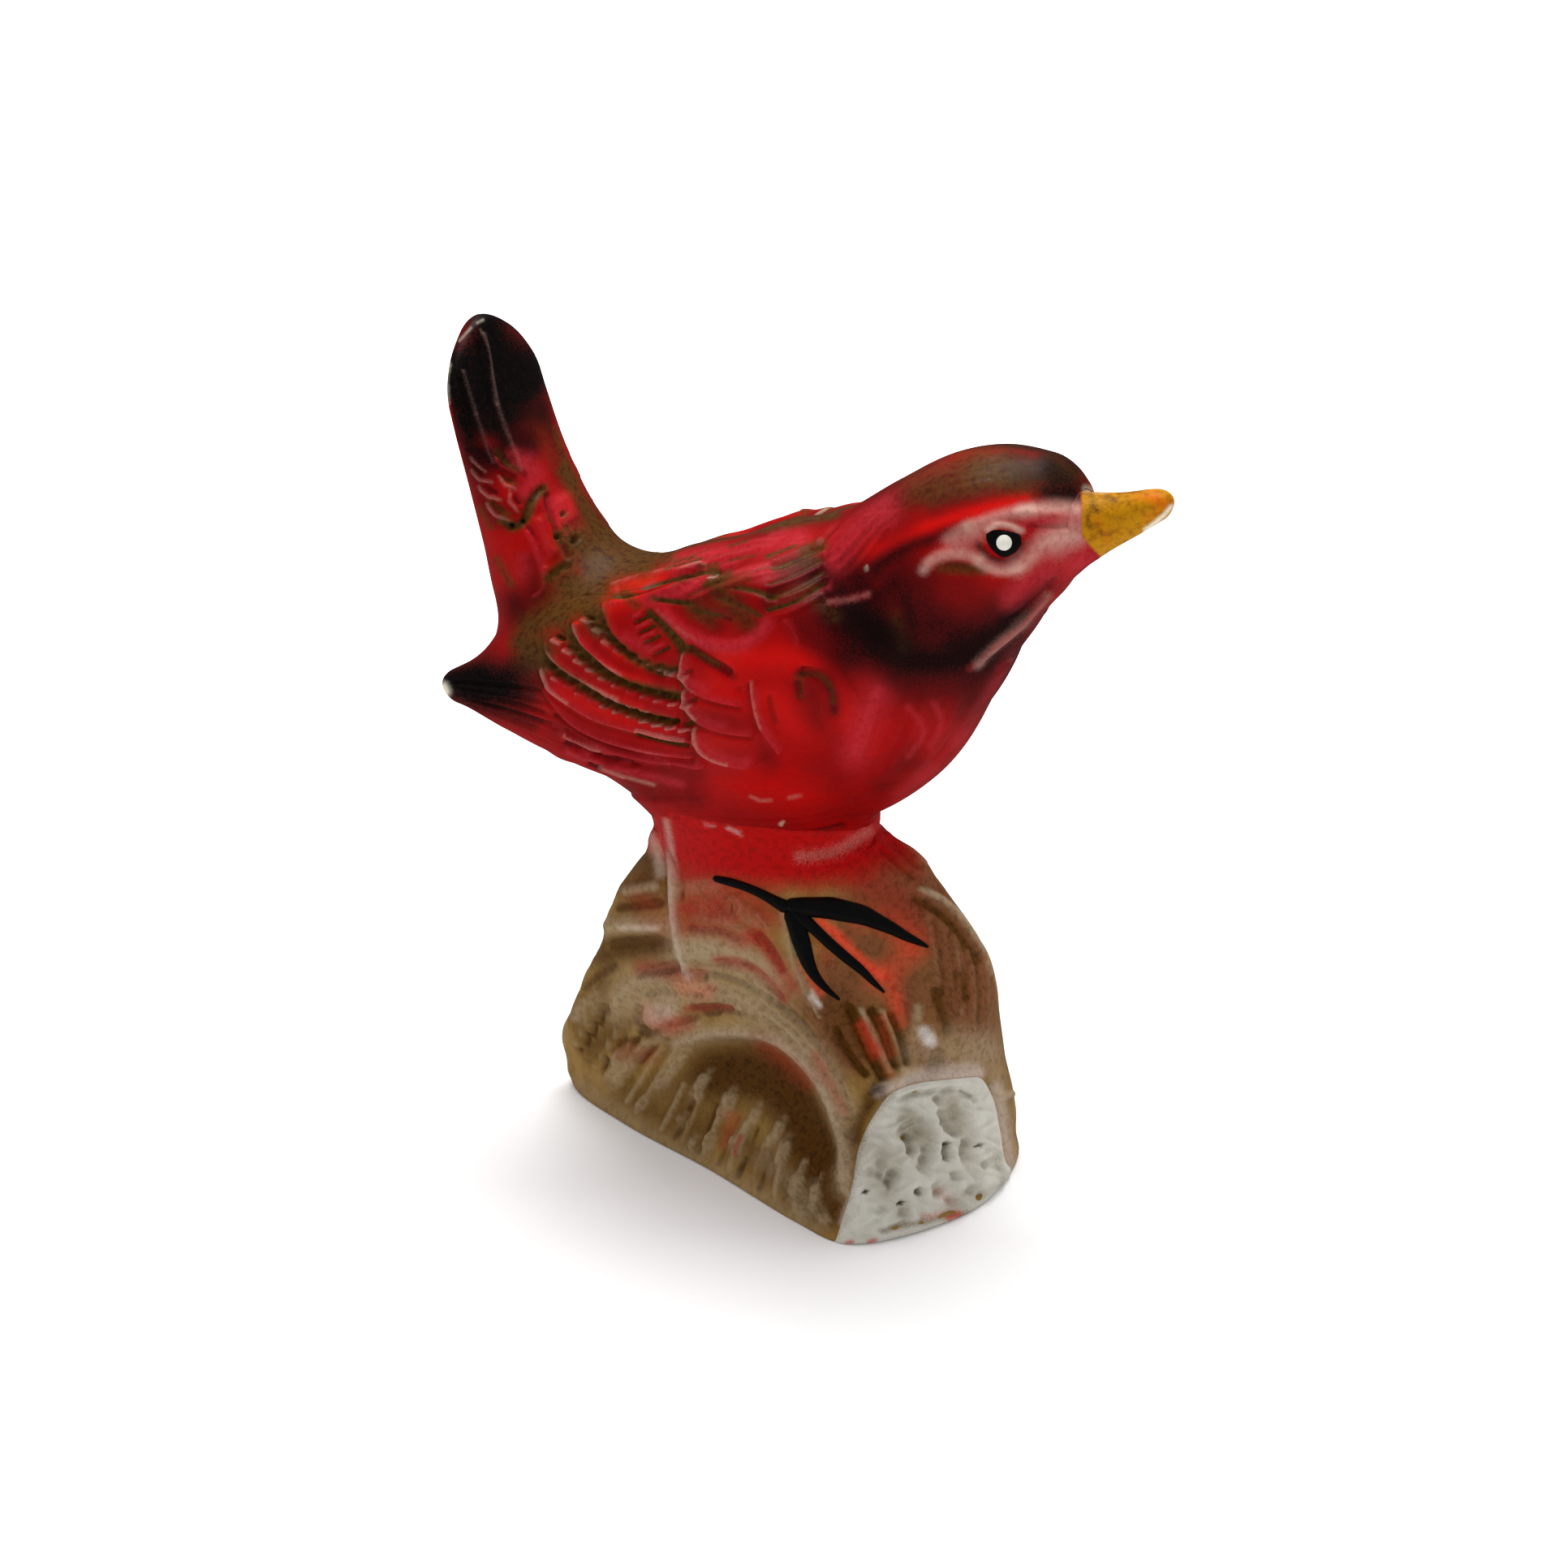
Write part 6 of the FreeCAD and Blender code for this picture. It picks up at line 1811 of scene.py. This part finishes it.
def bead(stroke, other_foot=False):
    """A bead of paint: half an ellipse over the skin, sunk a little into it, along a line
    given by pixels and half widths in pixels."""
    stroke = np.array(stroke, float)
    run = travelled(stroke[:, :2])
    left = crowded(run[-1], count(90))
    line = flow(run, stroke, left)
    spots = cast(line[:, :2])
    scale = np.linalg.norm(spots - camera_place, axis=1) / focal_pixels
    if other_foot:
        spots = onto_skin(spots * MIRROR + foot_shift)
    up = downhill(spots)
    way = unit(np.gradient(spots, axis=0))
    side = np.cross(up, way)
    ends = np.minimum(left, run[-1] - left) / line[:, 2].clip(1)
    half = (1.12 * line[:, 2] * np.sqrt(1 - (1 - ends.clip(0, 1)) ** 2)) * scale
    rise = (toe_height * np.tanh(half / 0.55))[:, None, None]
    turn = even_angles(count(40))[None, :, None]
    wave = np.cos(turn)
    lifted = np.where(wave > 0, wave * rise, wave * toe_depth * rise)
    spread = half[:, None, None] * np.sin(turn)
    return spots[:, None] + spread * side[:, None] + lifted * up[:, None]


right_toes = [bead(stroke) for stroke in toe_strokes]
left_toes = [bead(stroke, True) for stroke in toe_strokes]
make_piece("right_foot_paint", right_toes, {}, ("right_foot",))
make_piece("left_foot_paint", left_toes, {}, ("left_foot",))

# %% Domes
eye_outline = ((1215, 655), (1222, 651), (1240, 653), (1256, 657), (1259, 668), (1253, 679),
               (1242, 686), (1233, 686), (1222, 678), (1215, 666))


def dome(outline, centre, rise, sunk):
    """A drop of paint inside an outline of pixels: rise sqrt(1 - share^2) over the skin,
    closed under it."""
    loop = closed_flow(np.array(outline, float), count(80))
    shares = np.sin(np.linspace(0, np.pi / 2, count(36)))
    centre = np.array(centre, float)
    pixels = centre + shares[:, None, None] * (loop - centre)
    spots = cast(pixels)
    lift = rise * np.sqrt(np.maximum(1 - shares**2, 0)) - sunk * shares**6
    up = downhill(spots[:1, 0])[0]
    grid = spots + up * lift[:, None, None]
    under = np.broadcast_to(spots[0, 0] - up * 1.2, grid[:1].shape)
    return np.concatenate((grid, under))


def round_drop(centre, radius):
    """Outline of a round drop."""
    turn = even_angles(12)
    return np.column_stack((centre[0] + radius * np.cos(turn), centre[1] + radius * np.sin(turn)))


glint_centre = (1237, 668.5)
eye_grid = dome(eye_outline, (1236, 668), 0.34, 0.12)
glint_grid = dome(round_drop(glint_centre, 9.8), glint_centre, 0.62, -0.22)
make_piece("right_eye_paint", [eye_grid], {}, ("right_eye",))
make_piece("left_eye_paint", [mirrored(eye_grid)], {}, ("left_eye",))
make_piece("right_glint_paint", [glint_grid], {}, ("right_eye_glint",))
make_piece("left_glint_paint", [mirrored(glint_grid)], {}, ("left_eye_glint",))

# %% [markdown]
# ## Materials
# Every coloured surface is the same kind of paint: a ground colour, layers dusted over it
# with an airbrush, and gloss on top. Some layers are also painted shade in the low relief
# and painted highlights on the raised relief. A layer covers where its attribute is higher
# than the grain of a fine noise, which gives the dust its specks where it thins out.

# %% Shader arithmetic


class Wire:
    """A shader socket that adds, subtracts, multiplies and divides by Math nodes."""

    tree = None

    def __init__(self, socket):
        self.socket = socket

    @classmethod
    def node(cls, kind, settings, values, output=0):
        """Any other node: its settings, then the values or links of its sockets."""
        made = cls.tree.nodes.new(kind)
        for setting, value in settings.items():
            setattr(made, setting, value)
        for socket, value in values.items():
            if isinstance(value, Wire):
                cls.tree.links.new(value.socket, made.inputs[socket])
            else:
                made.inputs[socket].default_value = value
        return cls(made.outputs[output])

    def maths(self, operation, first, second):
        """One Math node of two values."""
        return Wire.node("ShaderNodeMath", {"operation": operation}, {0: first, 1: second})

    def __add__(self, other):
        return self.maths("ADD", self, other)

    def __radd__(self, other):
        return self.maths("ADD", other, self)

    def __sub__(self, other):
        return self.maths("SUBTRACT", self, other)

    def __rsub__(self, other):
        return self.maths("SUBTRACT", other, self)

    def __mul__(self, other):
        return self.maths("MULTIPLY", self, other)

    def __rmul__(self, other):
        return self.maths("MULTIPLY", other, self)

    def __truediv__(self, other):
        return self.maths("DIVIDE", self, other)

    def spread(self, low, high):
        """Smooth step from 0 at low to 1 at high."""
        return Wire.node("ShaderNodeMapRange", {"interpolation_type": "SMOOTHSTEP"},
                         {0: self, 1: low, 2: high, 3: 0.0, 4: 1.0})


def shade(red, green, blue):
    """A colour from its display values, 0 to 255, as light."""
    levels = [value / 255 for value in (red, green, blue)]
    light = [v / 12.92 if v <= 0.04045 else ((v + 0.055) / 1.055) ** 2.4 for v in levels]
    return (*light, 1.0)


def noise(scale, detail=2.0, rough=0.5):
    """Noise in the object's own coordinates, scale being its cells in a metre."""
    place = Wire.node("ShaderNodeTexCoord", {}, {}, "Object")
    values = {"Vector": place, "Scale": scale, "Detail": detail, "Roughness": rough}
    return Wire.node("ShaderNodeTexNoise", {}, values)


def mixed(share, below, above):
    """The colour above over the colour below by a share."""
    values = {0: share, 6: below, 7: above}
    return Wire.node("ShaderNodeMix", {"data_type": "RGBA"}, values, 2)


def paint_material(name, ground, worn, layers, roughness=0.44, coat=0.02, mottle=0.5):
    """Layered paint. layers are attribute, colour, colour it varies to and grain."""
    material = bpy.data.materials.new(name)
    material.use_nodes = True
    Wire.tree = material.node_tree
    shader = Wire.tree.nodes["Principled BSDF"]
    grain = noise(5200.0, 1.0).spread(0.33, 0.67)
    cloud = noise(420.0, 3.0, 0.6).spread(0.34, 0.70)
    fleck = noise(1500.0, 2.0, 0.6).spread(0.42, 0.72)
    colour = mixed(cloud * mottle, ground, worn)
    for attribute, first, second, rough_edge in layers:
        cover = Wire.node("ShaderNodeAttribute", {"attribute_name": attribute}, {}, "Fac")
        share = (cover - (grain + fleck * 0.12) * rough_edge) / (1.02 - rough_edge)
        colour = mixed(share, colour, mixed(fleck, first, second))
    Wire.tree.links.new(colour.socket, shader.inputs["Base Color"])
    gloss = roughness + cloud * 0.10 + grain * 0.06
    Wire.tree.links.new(gloss.socket, shader.inputs["Roughness"])
    shader.inputs["Coat Weight"].default_value = coat
    shader.inputs["Coat Roughness"].default_value = 0.16
    shader.inputs["Specular IOR Level"].default_value = 0.06
    uneven = noise(900.0, 3.0, 0.55) * 0.7 + noise(3200.0, 2.0) * 0.3
    values = {"Strength": 0.28, "Distance": 0.0002, "Height": uneven}
    bump = Wire.node("ShaderNodeBump", {}, values)
    Wire.tree.links.new(bump.socket, shader.inputs["Normal"])
    return material


# %% Paints
RED = shade(160, 0, 1)
RED_DARK = shade(134, 0, 1)
bird_layers = (
    ("blaze", shade(210, 6, 2), shade(198, 12, 3), 0.05),
    # Maroon paint, also painted shade in the low cuts.
    ("maroon_and_shade", shade(44, 2, 3), shade(34, 2, 5), 0.10),
    # Pink rubbed paint, also painted sheen.
    ("pink_rub_and_sheen", shade(184, 40, 50), shade(166, 26, 38), 0.10),
    ("ochre", shade(190, 130, 4), shade(160, 104, 2), 0.03),
    ("amber", shade(214, 112, 8), shade(200, 96, 6), 0.06),
    ("earth", shade(84, 54, 16), shade(60, 34, 10), 0.26),
    ("soot", shade(9, 8, 7), shade(15, 12, 10), 0.16),
    # Pale paint, also painted highlights.
    ("pale_paint_and_highlight", shade(206, 160, 146), shade(192, 138, 128), 0.06),
    # White chips, and the painted highlights on the beak.
    ("bare", shade(232, 224, 200), shade(214, 204, 180), 0.06),
)
stump_layers = (
    ("umber", shade(122, 74, 44), shade(98, 56, 32), 0.14),
    # Dark olive, also painted shade in hollows, grooves and fold troughs.
    ("olive_and_shade", shade(84, 50, 6), shade(62, 36, 4), 0.14),
    # Pale beige, also painted highlight on ridges and fold crests.
    ("beige_and_highlight", shade(166, 144, 112), shade(142, 118, 84), 0.10),
    ("rust", shade(158, 30, 20), shade(136, 24, 16), 0.14),
    ("scarlet", shade(176, 0, 1), shade(152, 0, 1), 0.08),
    ("blaze", shade(230, 78, 50), shade(214, 56, 32), 0.12),
    # Pale paint, also painted highlights on ridges.
    ("pale_paint_and_highlight", shade(200, 182, 168), shade(186, 166, 150), 0.10),
    ("soot", shade(36, 30, 24), shade(26, 22, 18), 0.20),
    ("bare", shade(222, 220, 214), shade(208, 204, 196), 0.10),
)
end_layers = (
    # Grey grime and painted shade in the end's hollows.
    ("hollow_grime_and_shade", shade(156, 148, 126), shade(142, 132, 110), 0.10),
    # Dark olive, also painted shade in the end's groove.
    ("olive_and_shade", shade(120, 100, 64), shade(104, 84, 50), 0.20),
    ("rust", shade(190, 70, 56), shade(176, 84, 66), 0.16),
    ("pit", shade(104, 94, 78), shade(84, 74, 60), 0.10),
)
plumage = paint_material("plumage", RED, RED_DARK, bird_layers)
bark_paint = paint_material("bark", shade(156, 122, 66), shade(128, 94, 42), stump_layers,
                            0.40, 0.03, 0.8)
white_clay = paint_material("white_clay", shade(206, 203, 192), shade(190, 185, 172), end_layers,
                            0.42, 0.10)
black = paint_material("black_enamel", shade(6, 6, 6), shade(12, 11, 10), (), 0.24, 0.45)
white_drop = paint_material("white_enamel", shade(236, 234, 222), shade(224, 220, 202), (),
                            0.3, 0.5)
wearing = {
    "torso_skin": plumage, "head_skin": plumage, "beak_skin": plumage, "tail_skin": plumage,
    "right_wing_skin": plumage, "left_wing_skin": plumage,
    "leg_skin": bark_paint, "stump_skin": bark_paint, "log_end_skin": white_clay,
    "right_foot_paint": black, "left_foot_paint": black,
    "right_eye_paint": black, "left_eye_paint": black,
    "right_glint_paint": white_drop, "left_glint_paint": white_drop,
}
for name, material in wearing.items():
    pieces[name].data.materials.append(material)
print("materials:", len(set(wearing.values())), "on", len(wearing), "pieces")

# %% [markdown]
# ## Floor, light and camera
# The figure stands on white paper under a large soft lamp, with a paler light all round.

# %% Floor
floor_mesh = bpy.data.meshes.new("floor")
floor_half = 9
sides = ((-1, -1), (1, -1), (1, 1), (-1, 1))
floor_corners = [(x * floor_half, y * floor_half, 0) for x, y in sides]
floor_mesh.from_pydata(floor_corners, [], [(0, 1, 2, 3)])
floor = bpy.data.objects.new("floor", floor_mesh)
bpy.context.scene.collection.objects.link(floor)
paper = bpy.data.materials.new("paper")
paper.use_nodes = True
paper_shader = paper.node_tree.nodes["Principled BSDF"]
Wire.tree = paper.node_tree
seen_straight = Wire.node("ShaderNodeLightPath", {}, {}, "Is Camera Ray")
seen_in_gloss = Wire.node("ShaderNodeLightPath", {}, {}, "Is Glossy Ray")
page = mixed(seen_in_gloss, (0.93, 0.93, 0.93, 1), (0.12, 0.12, 0.12, 1))
Wire.tree.links.new(page.socket, paper_shader.inputs["Base Color"])
spot = Wire.node("ShaderNodeTexCoord", {}, {}, "Object")
away = Wire.node("ShaderNodeVectorMath", {"operation": "LENGTH"}, {0: spot}, "Value")
lit = seen_straight * (0.12 + away.spread(0.05, 0.30) * 0.88)
glow = mixed(lit, (0, 0, 0, 1), (1, 1, 1, 1))
Wire.tree.links.new(glow.socket, paper_shader.inputs["Emission Color"])
paper_shader.inputs["Emission Strength"].default_value = 0.60
paper_shader.inputs["Roughness"].default_value = 0.9
paper_shader.inputs["Specular IOR Level"].default_value = 0.0
floor_mesh.materials.append(paper)
print("floor:", 2 * floor_half, "m wide")

# %% Light all round, white where the camera looks past the floor
world = bpy.data.worlds.new("room")
world.use_nodes = True
bpy.context.scene.world = world
Wire.tree = world.node_tree
looking = Wire.node("ShaderNodeLightPath", {}, {}, "Is Camera Ray")
glossy = Wire.node("ShaderNodeLightPath", {}, {}, "Is Glossy Ray")
room_light = Wire.tree.nodes["Background"]
strength = 0.64 + looking * 0.40 - glossy * 0.54
Wire.tree.links.new(strength.socket, room_light.inputs["Strength"])
room_light.inputs["Color"].default_value = (1, 1, 1, 1)


def soft_lamp(name, place, size, power):
    """A square lamp at a place that faces the figure."""
    lamp = bpy.data.lights.new(name, "AREA")
    lamp.size = size
    lamp.energy = power
    holder = bpy.data.objects.new(name, lamp)
    holder.location = place
    aim = Vector((0, 0, 0.045)) - Vector(place)
    holder.rotation_euler = aim.to_track_quat("-Z", "Y").to_euler()
    bpy.context.scene.collection.objects.link(holder)


soft_lamp("window", (-0.08, 0.17, 0.62), 0.40, 4.2)

# %% Camera
camera_data = bpy.data.cameras.new("view")
sensor_width = 36.0
camera_data.sensor_width = sensor_width
camera_data.lens = sensor_width * focal_pixels / photo_size
camera = bpy.data.objects.new("view", camera_data)
turn = Matrix((view_right, view_up, view_back)).transposed()
camera.matrix_world = Matrix.Translation(Vector(camera_place / METRE)) @ turn.to_4x4()
bpy.context.scene.collection.objects.link(camera)
bpy.context.scene.camera = camera
bpy.context.scene.view_settings.view_transform = "Standard"
print("lens:", round(camera_data.lens, 1), "mm")
